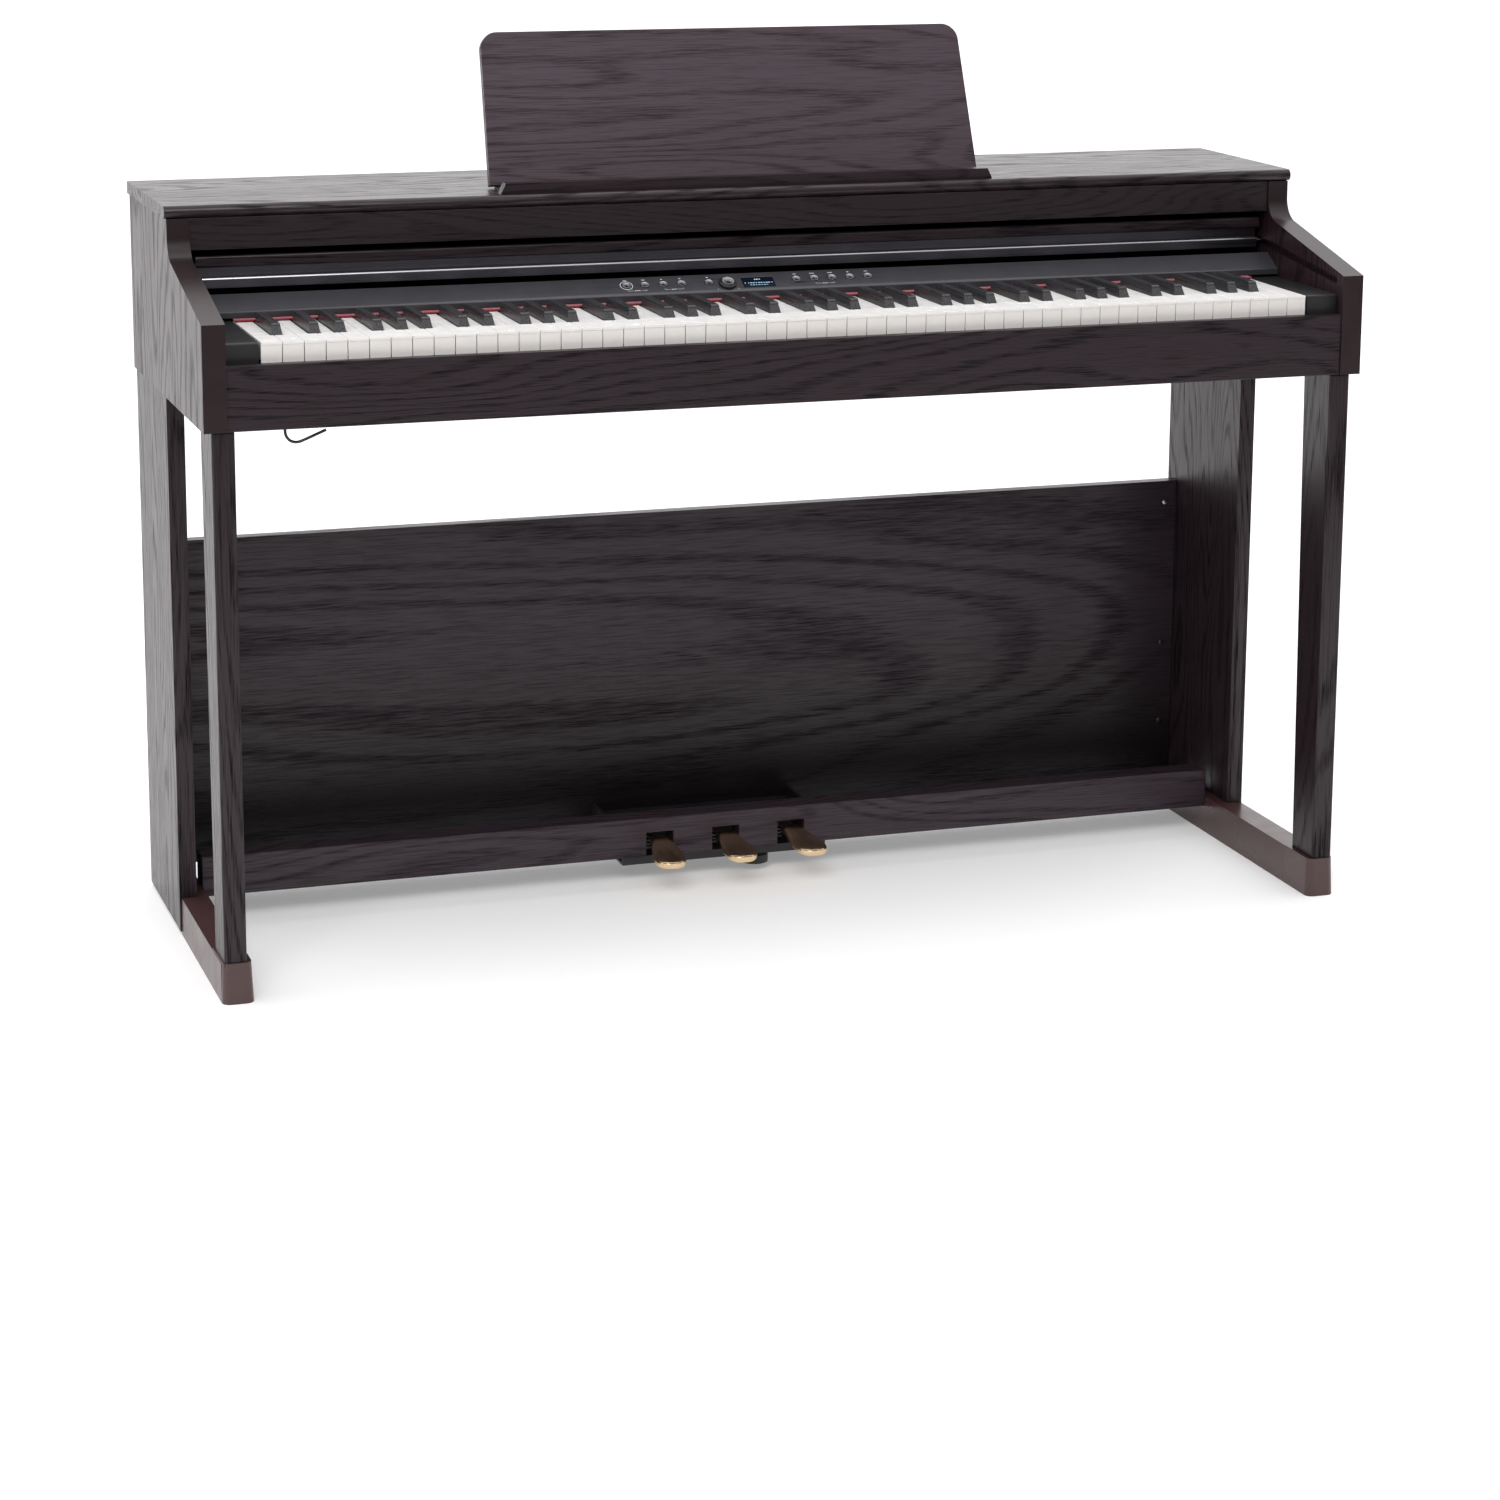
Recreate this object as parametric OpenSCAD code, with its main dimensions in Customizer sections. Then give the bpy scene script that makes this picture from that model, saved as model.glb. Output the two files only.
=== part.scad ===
// Console digital piano on its stand: a sliding key cover, a folding music rest, 88 hinged keys,
// a tilted control panel with a dial and ten buttons, three pedals, two foot rails and a rear panel.
// Millimetres. +X is the player's right, +Y the back, +Z up. The origin is on the floor, under the
// middle of the whole object.

/* [Overall] */
// Width across the top board
width = 1366; // [1340:1:1420]
// Depth from the front of the arms to the back of the stand
depth = 467; // [455:1:520]
// Height of the top board's upper face above the floor
height = 854; // [800:1:920]

/* [Case] */
// Depth of the top board
board_depth = 256; // [254:1:270]
// Thickness of the top board
board_t = 14; // [12:0.5:18]
// How far the top board passes the arms at each side
board_overhang = 2.5; // [1:0.5:6]
// How far the back of the top board is ahead of the back of the stand
board_inset = 10; // [4:1:20]
// Thickness of each arm
arm_t = 25.5; // [22:0.5:30]
// Height of the case from its underside to the top board's upper face
case_h = 218; // [216:1:240]
// Drop from the top board's upper face to the arms' front corner
arm_drop = 102; // [98:1:106]
// Slope of the arms' upper edge, in degrees
arm_slope = 13; // [11:0.5:15]
// Radius between an arm's upright edge and its sloping edge
arm_fillet = 28; // [15:1:35]
// Thickness of the board under the keys
bed_t = 15; // [12:1:18]
// Height of the front rail ahead of the keys
slip_h = 71; // [68:1:73]
// Thickness of the front rail
slip_t = 12; // [10:0.5:13]
// Height of the strip under the top board
fascia_h = 36; // [30:1:38]
// Thickness of the strip and of the back board
panel_t = 12; // [9:0.5:13]

/* [Keys] */
// Distance from one white key to the next
key_pitch = 23.65; // [23.3:0.05:23.8]
// Drop from the top board's upper face to the white keys
key_drop = 125; // [123:0.5:127]
// How far the white keys' front is behind the arms' front
key_inset = 15.5; // [15:0.5:20]
// Length of the wide front part of a white key
white_head = 45; // [43:0.5:48]
// Height of a white key
white_h = 20; // [17:0.5:22]
// Gap between two white keys
white_gap = 1; // [0.8:0.1:1.4]
// Width of a black key at its foot
black_w = 12.4; // [11:0.1:12.6]
// Width of a black key at its top
black_top_w = 9.2; // [8:0.1:10.5]
// Height of a black key above the white keys
black_h = 11.5; // [10:0.25:11.75]
// Distance from a white key's front to its pivot
key_length = 240; // [220:1:250]
// How far a key's front goes down
key_dip = 10; // [8:0.5:10.5]

/* [Control panel] */
// Drop from the top board's upper face to the panel's front lip
lip_drop = 115.5; // [115:0.5:116.5]
// How far the panel's lip is behind the arms' front
lip_inset = 171; // [168:1:173]
// Slope of the panel, in degrees
panel_tilt = 30; // [28:0.5:31]
// Length of the panel's slope
panel_len = 33.5; // [31:0.5:34]
// Radius of a button
button_r = 5; // [3.5:0.1:5.4]
// How far a button can be pressed
button_travel = 1; // [0.6:0.1:1.2]
// Radius of the dial's skirt
dial_r = 10.4; // [8:0.1:10.6]
// Radius of the dial's cap
dial_cap_r = 7.2; // [6:0.1:7.4]
// Height of the dial above the panel
dial_h = 5.8; // [5:0.1:6]

/* [Key cover] */
// How far the cover slides
cover_travel = 200; // [180:1:200]
// How far the cover's front sinks over that travel
cover_drop = 21; // [18:0.5:21.5]
// Thickness of the cover
cover_t = 8; // [6:0.5:9]
// Height of the wooden rail along the cover's front
bar_h = 13.5; // [12:0.5:14]
// Height of the satin grip under that rail
grip_h = 12.5; // [10:0.5:12.5]
// Radius of the guide pins
pin_r = 3; // [2.5:0.1:3.5]
// Radius of the shaft's rollers
roller_r = 6; // [5:0.1:6]

/* [Music rest] */
// Half width of the rest panel at its foot
rest_half = 299; // [250:1:320]
// How much narrower each side is at the top
rest_taper = 5; // [0:1:20]
// Length of the rest panel along its slope
rest_len = 180; // [150:1:186]
// Thickness of the rest panel
rest_t = 10; // [9:0.5:11]
// Backward lean of the raised rest, in degrees
rest_lean = 20.3; // [12:0.1:25]
// Corner radius of the rest panel
rest_r = 20; // [8:1:30]
// Height of the lip that holds the music
lip_h = 12; // [8:0.5:16]
// Thickness of the lip that holds the music
lip_d = 15; // [9:0.5:18]

/* [Stand] */
// Thickness of each side panel
side_t = 20; // [18:0.5:22]
// Depth of each side panel
side_depth = 204.5; // [180:1:215]
// How far the side panels are inside the arms
side_inset = 4.5; // [3:0.5:8]
// Width of a front leg
leg_w = 25; // [22:0.5:28]
// Depth of a front leg at its top
leg_top_d = 67; // [58:1:75]
// Depth of a front leg at its foot
leg_foot_d = 53; // [45:1:58]
// Height of a foot rail
rail_h = 46; // [40:1:52]
// Width of a foot rail at the floor
rail_w = 35.5; // [33:0.5:38]
// Height of the rear panel's upper edge above the floor
rear_top = 427.5; // [380:0.5:480]
// Thickness of the rear panel
rear_t = 18; // [15:0.5:20]
// Height of the pedal board
pedal_board_h = 48; // [44:1:56]
// Depth of the pedal board
pedal_board_d = 33; // [28:1:36]
// Height of the pedal board's underside above the floor
pedal_board_z = 31; // [28:0.5:34]

/* [Pedals] */
// Distance from one pedal to the next
pedal_pitch = 84; // [78:1:95]
// Length of a pedal ahead of the pedal board
pedal_reach = 80; // [70:1:92]
// Width of a pedal at its neck
pedal_neck_w = 25; // [18:0.5:26]
// Width of a pedal at its tip
pedal_tip_w = 37; // [28:0.5:40]
// Outward turn of the two outer pedals, in degrees
pedal_splay = 5; // [0:0.5:5]
// Forward slope of the pedals, in degrees
pedal_slope = 7; // [3:0.5:8]
// How far a pedal's tip goes down
pedal_dip = 13; // [8:0.5:14]

/* [Hidden] */

// Colours
wood = [0.16, 0.10, 0.11];
wood_edge = [0.20, 0.12, 0.12];
satin_black = [0.07, 0.07, 0.08];
charcoal = [0.20, 0.20, 0.22];
ivory = [0.95, 0.94, 0.91];
ebony = [0.13, 0.13, 0.14];
steel = [0.62, 0.63, 0.65];
brass = [0.80, 0.62, 0.30];
red_felt = [0.70, 0.08, 0.14];

// Faces of the case
y_front = -depth / 2;
y_back = depth / 2;
x_arm = width / 2 - board_overhang;
x_in = x_arm - arm_t;
board_z = height - board_t;
board_back = y_back - board_inset;
board_front = board_back - board_depth;
arm_back = board_back - 2;
arm_edge = board_front + 2;
case_z = height - case_h;
arm_z = height - arm_drop;
bed_top = case_z + bed_t;
slip_front = y_front + 2;
slip_back = slip_front + slip_t;
fascia_front = board_front + 4;
fascia_z = board_z - fascia_h;
back_front = arm_back - panel_t / 2;
joint_gap = 0.4;
arm_steps = 20;

// Keys: the white ones are counted from 0 at the left, and the third of them is a C
white_count = 52;
first_note = 5;
octaves = 8;
key_top = height - key_drop;
key_front = y_front + key_inset;
key_bottom = key_top - white_h;
key_pivot_y = key_front + key_length;
key_pivot_z = key_bottom + 6;
key_rod_r = 2.5;
comb_t = 0.5;
key_back = key_pivot_y + 10;
panel_y = y_front + lip_inset;
head_back = key_front + white_head;
face_drop = 4;
face_t = 2.4;
lip_t = 3;
lip_out = 0.9;
slot_clear = 0.4;
tail_gap = 0.6;
black_front = head_back + 1.5;
black_slope = 5;
black_back = panel_y - 16;
key_tail_step = 2;
keys_half = white_count * key_pitch / 2;
block_gap = 1.6;

// Control panel: local u runs up the slope from the lip, and v out of the panel's face
panel_z = height - lip_drop;
panel_skin = 2.2;
panel_face_z = key_top + 2.6;
control_u = 18.5;
dial_u = 14;
dial_x = -39;
display_u = 7.2;
display_len = 17.6;
display_x = -1;
display_half = 19.5;
display_skin = 1.2;
hole_gap = 0.25;
power_x = -159;
button_x = [-137, -115, -93, -60, 46, 68, 90, 112, 134];
button_depth = 5;

// Key cover: it slides on its carriage and tilts about the carriage's hinge rods
cover_half = x_in - 7;
cover_z = height - 70;
bar_front = fascia_front + 6;
bar_back = bar_front + 12.5;
bar_z = cover_z - 1;
grip_front = bar_front + 6;
grip_back = grip_front + 8;
grip_z = cover_z - 24.5;
hinge_y = arm_back - 27.5;
hinge_z = cover_z + cover_t / 2;
rod_r = 3;
knuckle_r = 5;
knuckle_half = 20;
knuckle_x = [-500, 0, 500];
rod_gap = 0.1;
cover_back = hinge_y - 8;
pin_y = grip_front + 4;
pin_z = grip_z + 7;
pin_reach = 5;
groove_depth = 7;
groove_r = pin_r + 1.2;
groove_lead = 4;
groove_angle = atan(cover_drop / cover_travel);
beam_front = hinge_y + 9;
beam_back = beam_front + 6;
shaft_y = hinge_y + 2;
shaft_r = 3.5;
shaft_z = cover_z - 8;
roller_w = 9;
track_z = shaft_z - roller_r - 0.3;
track_t = 5;
track_w = 14;
track_front = grip_back + 2;
stay_x = 618;
stay_t = 5;

// Music rest: it turns about the pins of the ledge's lugs
ledge_front = board_front + 12;
rest_set_back = 65;
rest_pivot_y = ledge_front + rest_set_back;
rest_pivot_z = height + 5.6;
rest_knuckle_r = 4.5;
rest_gap = 0.1;
rest_foot = 6;
lug_x = 200;
lug_w = 12;
lug_gap = 0.5;
rest_pin_r = 2.5;
ledge_t = 2.6;
ledge_taper = 6;

// Stand
x_side = x_arm - side_inset;
side_front = y_back - side_depth;
side_z = 3;
leg_x = x_arm - 9.5;
leg_front = y_front + 6.5;
socket = 8;
rail_x = x_side - 1.7;
rail_in = rail_x - rail_w;
rail_draft = 4;
rail_front = y_front + 1.5;
rail_back = y_back - 40;
rear_back = y_back - 9;
rear_front = rear_back - rear_t;
pedal_board_front = y_front + 300;
pedal_board_back = pedal_board_front + pedal_board_d;
notch_w = 34;
notch_h = 30;
plate_t = 3;
plate_front = pedal_board_front + 4;
plate_z = pedal_board_z - 10;

// Pedals: they turn on one rod behind the pedal board
pedal_top = pedal_board_z + 24;
pedal_t = 9;
pedal_pivot_y = pedal_board_back + 48;
pedal_pivot_z = pedal_top - pedal_t / 2;
pedal_rod_r = 4;
pedal_hub_r = 8;
pedal_hub_w = 18;
pedal_lever_w = 12;
ear_t = 4;
spring_r = 6;
adjuster_r = 17;
adjuster_x = pedal_pitch / 2;
adjuster_y = pedal_board_front + 16;
adjuster_z = plate_z - 12;
adjuster_t = 10;
stem_r = 3.9;

// A block between two corners
module block(low, high) {
    translate(low) cube(high - low);
}

// The children and their mirror image across the middle of the piano
module both_sides() {
    children();
    mirror([1, 0, 0]) children();
}

// An outline drawn in Y and Z, made thick along X from x
module along_x(x, thick) {
    translate([x, 0, 0]) rotate([90, 0, 90]) linear_extrude(thick) children();
}

// A round bar along X
module bar_x(x, y, z, r, length) {
    translate([x, y, z]) rotate([0, 90, 0]) cylinder(r = r, h = length, $fn = 48);
}

// Height of an arm's sloping edge at y
function slope_z(y) = arm_z + (y - y_front) * tan(arm_slope);

// An arm's outline: upright front, sloping edge, fillet and upright upper edge
module arm_outline() {
    centre_y = arm_edge - arm_fillet;
    centre_z = slope_z(centre_y) + arm_fillet / cos(arm_slope);
    fillet = [for (i = [0:arm_steps])
        let (a = (arm_slope - 90) * (1 - i / arm_steps))
        [centre_y + arm_fillet * cos(a), centre_z + arm_fillet * sin(a)]];
    polygon(concat([[y_front, case_z], [y_front, arm_z]], fillet,
                   [[arm_edge, board_z], [arm_back, board_z], [arm_back, case_z]]));
}

// The path of a cover pin, from the open cover to the closed one
module pin_groove() {
    run = cover_travel + groove_lead + 2;
    translate([x_in - 1, pin_y + groove_lead, pin_z + 0.6]) rotate([180 + groove_angle, 0, 0]) {
        rotate([0, 90, 0]) cylinder(r = groove_r, h = groove_depth + 1, $fn = 32);
        translate([0, run, 0]) rotate([0, 90, 0]) cylinder(r = groove_r, h = groove_depth + 1, $fn = 32);
        translate([0, 0, -groove_r]) cube([groove_depth + 1, run, 2 * groove_r]);
    }
}

module arm() {
    color(wood) difference() {
        along_x(x_in, arm_t) arm_outline();
        pin_groove();
    }
}

module left_arm() { mirror([1, 0, 0]) arm(); }
module right_arm() { arm(); }

// The top board has a half-round front edge
module top_board() {
    nose = board_t / 2;
    color(wood) along_x(-width / 2, width) union() {
        translate([board_front + nose, board_z]) square([board_depth - nose, board_t]);
        translate([board_front + nose, board_z + nose]) circle(r = nose, $fn = 64);
    }
}

module fascia() {
    color(wood) block([-x_in, fascia_front, fascia_z], [x_in, fascia_front + panel_t, board_z]);
}

module key_slip() {
    color(wood) block([-x_in, slip_front, case_z], [x_in, slip_back, case_z + slip_h]);
}

// The board under the keys, with the speaker openings
speaker_x = 430;
speaker_y = board_back - 85;
speaker_hole_r = 50;
speaker_r = 60;
speaker_h = 46;
module key_bed() {
    color(wood_edge) difference() {
        block([-x_in, slip_back, case_z], [x_in, back_front, bed_top]);
        for (side = [-1, 1])
            translate([side * speaker_x, speaker_y, case_z - 1])
                cylinder(r = speaker_hole_r, h = bed_t + 2, $fn = 96);
    }
}

jack_z = bed_top + 24;
jack_half_h = 15;
jack_left = 250;
jack_right = 130;
module back_board() {
    color(wood_edge) difference() {
        block([-x_in, back_front, case_z], [x_in, arm_back, board_z]);
        for (x = [each phones_x, inlet_x])
            translate([x, arm_back + 1, jack_z]) rotate([90, 0, 0])
                cylinder(r = barrel_r + joint_gap, h = arm_back - back_front + 2, $fn = 64);
        for (x = data_x)
            block([x - data_half - joint_gap, back_front - 1, jack_z - data_half_h - joint_gap],
                  [x + data_half + joint_gap, arm_back + 1, jack_z + data_half_h + joint_gap]);
    }
}

// Two speakers that face down through the board: a basket, a cone and a magnet
module speaker() {
    color(satin_black) rotate_extrude($fn = 96) polygon([
        [0, 14], [14, 14], [speaker_hole_r - 4, 3], [speaker_hole_r, 0], [speaker_r, 0], [speaker_r, 3],
        [speaker_hole_r + 1, 4], [30, 24], [30, speaker_h], [0, speaker_h]]);
}
module speakers() {
    for (side = [-1, 1]) translate([side * speaker_x, speaker_y, bed_top]) speaker();
}

// The socket plate on the back: two headphone sockets, a power inlet and two data sockets
phones_r = 3.2;
inlet_r = 2.8;
socket_len = 14;
barrel_r = 6.5;
phones_x = [-236, -218];
inlet_x = -198;
data_x = [-180, -160];
data_half = 7.5;
data_half_h = 5;
module jack_plate() {
    color(satin_black) difference() {
        union() {
            block([-jack_left, arm_back, jack_z - jack_half_h],
                  [-jack_right, arm_back + 1.5, jack_z + jack_half_h]);
            for (x = [each phones_x, inlet_x])
                translate([x, arm_back + 0.1, jack_z]) rotate([90, 0, 0])
                    cylinder(r = barrel_r, h = socket_len + 0.1, $fn = 64);
            for (x = data_x)
                block([x - data_half, arm_back - socket_len, jack_z - data_half_h],
                      [x + data_half, arm_back + 0.1, jack_z + data_half_h]);
        }
        for (x = phones_x) socket_hole(x, phones_r);
        socket_hole(inlet_x, inlet_r);
        for (x = data_x)
            block([x - 6, arm_back - 9, jack_z - 3.5], [x + 6, arm_back + 2, jack_z + 3.5]);
    }
}
module socket_hole(x, r) {
    translate([x, arm_back + 2, jack_z]) rotate([90, 0, 0]) cylinder(r = r, h = socket_len + 3, $fn = 48);
}

// A bent hook under the front of the board, drawn from one bend to the next
hook_r = 1.6;
hook_path = [[-590, 4], [-590, -6], [-584, -14.6], [-577, -17], [-545.6, -5]];
module headphone_hook() {
    hook_y = y_front + 17;
    color(steel) translate([0, hook_y + hook_r, case_z]) rotate([90, 0, 0]) linear_extrude(2 * hook_r)
        difference() {
            for (i = [1:len(hook_path) - 1]) hook_run(hook_path[i - 1], hook_path[i]);
            translate([-600, 0]) square([60, 10]);
        }
}
module hook_run(from, to) {
    run = to - from;
    translate(from) rotate([0, 0, atan2(run[1], run[0])]) translate([0, -hook_r])
            square([norm(run), 2 * hook_r]);
    translate(to) circle(r = hook_r, $fn = 32);
}

// Places its children on the control panel: x across, u up the slope, v out of the face
module on_panel(x, u) {
    translate([x, panel_y, panel_z]) rotate([panel_tilt, 0, 0]) translate([0, u, 0]) children();
}

module control_panel() {
    color(charcoal) difference() {
        along_x(-x_in, 2 * x_in) difference() {
            polygon(panel_outline(0));
            polygon(panel_outline(panel_skin));
        }
        on_panel(power_x, control_u) button_hole();
        for (x = button_x) on_panel(x, control_u) button_hole();
        on_panel(dial_x, dial_u) translate([0, 0, -10]) cylinder(r = 3.2, h = 20, $fn = 48);
        on_panel(display_x - display_half, display_u)
            translate([0, 0, -10]) cube([2 * display_half, display_len, 20]);
    }
}
module button_hole() {
    translate([0, 0, -10]) cylinder(r = button_r + hole_gap, h = 20, $fn = 64);
}
// The panel's section: a front face, the slope and a back web, pulled in by skin for its inside
function panel_outline(skin) =
    let (top_y = panel_y + panel_len * cos(panel_tilt), top_z = panel_z + panel_len * sin(panel_tilt),
         drop = skin / cos(panel_tilt))
    skin == 0
    ? [[panel_y, panel_face_z], [panel_y, panel_z], [top_y, top_z], [top_y, panel_face_z]]
    : [[panel_y + skin, panel_face_z - 1], [panel_y + skin, panel_z + skin * tan(panel_tilt) - drop],
       [top_y - skin, top_z - skin * tan(panel_tilt) - drop], [top_y - skin, panel_face_z - 1]];

module display() {
    inset = 0.2;
    frame_w = 3;
    color([0.03, 0.04, 0.08]) on_panel(display_x - display_half, display_u) {
        translate([inset, inset, -panel_skin - 0.5])
            cube([2 * (display_half - inset), display_len - 2 * inset, panel_skin + 0.2]);
        translate([-frame_w, -frame_w, -panel_skin - display_skin])
            cube([2 * (display_half + frame_w), display_len + 2 * frame_w, display_skin]);
    }
}

// A button's cap with its guide collar under the panel
module button(x) {
    color(steel) on_panel(x, control_u) {
        translate([0, 0, -button_depth]) cylinder(r = button_r, h = button_depth + 1.2, $fn = 64);
        translate([0, 0, -button_depth - 1.2]) cylinder(r = button_r + 1, h = 1.2, $fn = 64);
    }
}
module power_button() { button(power_x); }
module button_1() { button(button_x[0]); }
module button_2() { button(button_x[1]); }
module button_3() { button(button_x[2]); }
module button_4() { button(button_x[3]); }
module button_5() { button(button_x[4]); }
module button_6() { button(button_x[5]); }
module button_7() { button(button_x[6]); }
module button_8() { button(button_x[7]); }
module button_9() { button(button_x[8]); }

// The dial: a wide skirt, a spun cap and a shaft through the panel
module dial() {
    color(satin_black) on_panel(dial_x, dial_u) rotate_extrude($fn = 96) polygon([
        [0, -9], [3.1, -9], [3.1, 0.3], [dial_r, 0.3], [dial_r - 0.8, dial_h * 0.55],
        [dial_cap_r, dial_h * 0.6], [dial_cap_r, dial_h], [0, dial_h]]);
}

module felt_strip() {
    color(red_felt)
            block([-keys_half, panel_y - 13, panel_face_z - 1.6], [keys_half, panel_y + 2, panel_face_z]);
}

// The blocks at the ends of the keyboard
module end_blocks() {
    color(satin_black) both_sides()
        block([keys_half + block_gap, key_front, bed_top], [x_in, panel_y + 40, key_top]);
}

// The frame that carries the keys: a base, a front rail, a rear rail, and the rod on which the keys
// turn, held by thin plates between the octaves
module key_frame() {
    half = keys_half;
    rear_rail = key_pivot_z - 7.4;
    color(steel) {
        block([-half, key_front + 4, bed_top], [half, key_pivot_y + 14, bed_top + 4]);
        block([-half, key_front + 12, bed_top + 4], [half, key_front + 40, key_bottom - key_dip - 1.2]);
        block([-half, key_pivot_y - 12, bed_top + 4], [half, key_pivot_y + 12, rear_rail]);
        for (octave = [0:octaves - 1])
            translate([-half + (octave * 7 + 7 - first_note) * key_pitch - comb_t / 2, 0, 0])
                block([0, key_pivot_y - 5, rear_rail - 0.1], [comb_t, key_pivot_y + 5, key_pivot_z + 3]);
        bar_x(-half - block_gap, key_pivot_y, key_pivot_z, key_rod_r, 2 * (half + block_gap));
    }
}

// The bore of the keys' rod
module key_bore() {
    bar_x(-keys_half - 5, key_pivot_y, key_pivot_z, key_rod_r + rod_gap * 0.8, 2 * keys_half + 10);
}

// Edges of a note's slot, in white key widths from its octave's C
function slot(low, high, unit, start) = [start + low * unit, start + high * unit];
lower_slot = 3 / 5;
upper_slot = 4 / 7;
function white_slot(note) =
    note < 3 ? slot(2 * note, 2 * note + 1, lower_slot, 0)
             : slot(2 * (note - 3), 2 * (note - 3) + 1, upper_slot, 3);
function black_middle(note) =
    note < 2 ? (2 * note + 1.5) * lower_slot : 3 + (2 * (note - 3) + 1.5) * upper_slot;

// One white key whose number from the left is i, and whose note in its octave is note
module white_key(i, note) {
    left = -keys_half + i * key_pitch + white_gap / 2;
    right = left + key_pitch - white_gap;
    octave_x = -keys_half + (i - note) * key_pitch;
    edges = white_slot(note);
    open_left = i == 0 || note == 0 || note == 3;
    open_right = i == white_count - 1 || note == 2 || note == 6;
    tail_left = open_left ? left : octave_x + max(
        edges[0] * key_pitch + slot_clear, black_middle(note - 1) * key_pitch + black_w / 2 + tail_gap);
    tail_right = open_right ? right : octave_x + min(
        edges[1] * key_pitch - slot_clear, black_middle(note) * key_pitch - black_w / 2 - tail_gap);
    block([left, key_front, key_bottom], [right, head_back, key_top]);
    block([left, key_front, key_bottom - face_drop], [right, key_front + face_t, key_top]);
    block([left, key_front - lip_out, key_top - lip_t], [right, key_front + 1, key_top]);
    block([tail_left, head_back - 1, key_bottom], [tail_right, key_back, key_top]);
}

// All the white keys of one note
module white_keys(note) {
    color(ivory) difference() {
        for (octave = [0:octaves]) {
            i = octave * 7 + note - first_note;
            if (i >= 0 && i < white_count) white_key(i, note);
        }
        key_bore();
    }
}

// One black key: a side outline cut to a section that narrows upwards
module black_key(x) {
    top = key_top + black_h;
    nose = 3;
    intersection() {
        along_x(x - black_w / 2, black_w) polygon(concat(
            [[black_front, key_bottom + 6], [black_front, key_top]],
            [for (a = [180:-15:90]) [black_front + black_slope + nose + nose * cos(a),
                        top - nose + nose * sin(a)]],
            [[black_back, top], [black_back, key_top - key_tail_step], [key_back, key_top - key_tail_step],
             [key_back, key_bottom],
             [head_back + 6, key_bottom], [head_back + 6, key_bottom + 6]]));
        translate([x, key_back + 1, 0]) rotate([90, 0, 0]) linear_extrude(key_length + 20) polygon([
            [-black_w / 2, key_bottom - 1], [black_w / 2, key_bottom - 1], [black_w / 2, key_top],
            [black_top_w / 2, top + 0.1], [-black_top_w / 2, top + 0.1], [-black_w / 2, key_top]]);
    }
}

// All the black keys just above one white note
module black_keys(note) {
    color(ebony) difference() {
        for (octave = [0:octaves]) {
            i = octave * 7 + note - first_note;
            if (i >= 0 && i < white_count - 1)
                black_key(-keys_half + (i - note + black_middle(note)) * key_pitch);
        }
        key_bore();
    }
}
module keys_c() { white_keys(0); }
module keys_d() { white_keys(1); }
module keys_e() { white_keys(2); }
module keys_f() { white_keys(3); }
module keys_g() { white_keys(4); }
module keys_a() { white_keys(5); }
module keys_b() { white_keys(6); }
module keys_c_sharp() { black_keys(0); }
module keys_d_sharp() { black_keys(1); }
module keys_f_sharp() { black_keys(3); }
module keys_g_sharp() { black_keys(4); }
module keys_a_sharp() { black_keys(5); }

// The circuit board behind the keys, on posts, with its larger components
module main_board() {
    board_y = key_back + 40;
    board_top = bed_top + 9.6;
    color([0.05, 0.25, 0.14]) {
        block([-140, board_y, bed_top + 8], [140, board_y + 90, board_top]);
        for (x = [-130, 130], y = [board_y + 10, board_y + 80])
            translate([x, y, bed_top]) cylinder(r = 4, h = 8, $fn = 32);
    }
    color(satin_black) {
        block([-60, board_y + 25, board_top], [-30, board_y + 55, board_top + 2.4]);
        block([20, board_y + 20, board_top], [46, board_y + 40, board_top + 3]);
        block([80, board_y + 15, board_top], [120, board_y + 75, board_top + 18]);
    }
}

// Tracks along the arms that carry the cover's rollers
module cover_rails() {
    color(steel) both_sides()
        block([x_in - track_w, track_front, track_z - track_t], [x_in, back_front, track_z]);
}

// The carriage: a beam across the case, stays that hold the shaft, and lugs with hinge rods
module cover_carriage() {
    color(steel) difference() {
        union() {
            block([-stay_x - stay_t, beam_front, cover_z - 12], [stay_x + stay_t, beam_back, hinge_z + 4]);
            both_sides()
                block([stay_x, shaft_y - 7, cover_z - 12.5], [stay_x + stay_t, beam_front + 1, cover_z - 3]);
            for (x = knuckle_x) {
                bar_x(x - knuckle_half - 6, hinge_y, hinge_z, rod_r, 2 * knuckle_half + 12);
                for (side = [-1, 1])
                    translate([x + side * (knuckle_half + 4), hinge_y, hinge_z])
                        translate([-2.5, -knuckle_r + 1, -4]) cube([5, beam_front - hinge_y + knuckle_r, 8]);
            }
        }
        bar_x(-stay_x - stay_t - 1, shaft_y, shaft_z, shaft_r + rod_gap * 0.8, stay_t + 2);
        bar_x(stay_x - 1, shaft_y, shaft_z, shaft_r + rod_gap * 0.8, stay_t + 2);
    }
}

// The sliding board that covers the keys, with its hinge knuckles
module cover_panel() {
    color(wood) difference() {
        union() {
            block([-cover_half, bar_back, cover_z], [cover_half, cover_back, cover_z + cover_t]);
            for (x = knuckle_x) {
                bar_x(x - knuckle_half, hinge_y, hinge_z, knuckle_r, 2 * knuckle_half);
                block([x - knuckle_half, cover_back - 1, hinge_z - 3],
                          [x + knuckle_half, hinge_y, hinge_z + 3]);
            }
        }
        for (x = knuckle_x)
            bar_x(x - knuckle_half - 1, hinge_y, hinge_z, rod_r + rod_gap * 0.8, 2 * knuckle_half + 2);
    }
}

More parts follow.
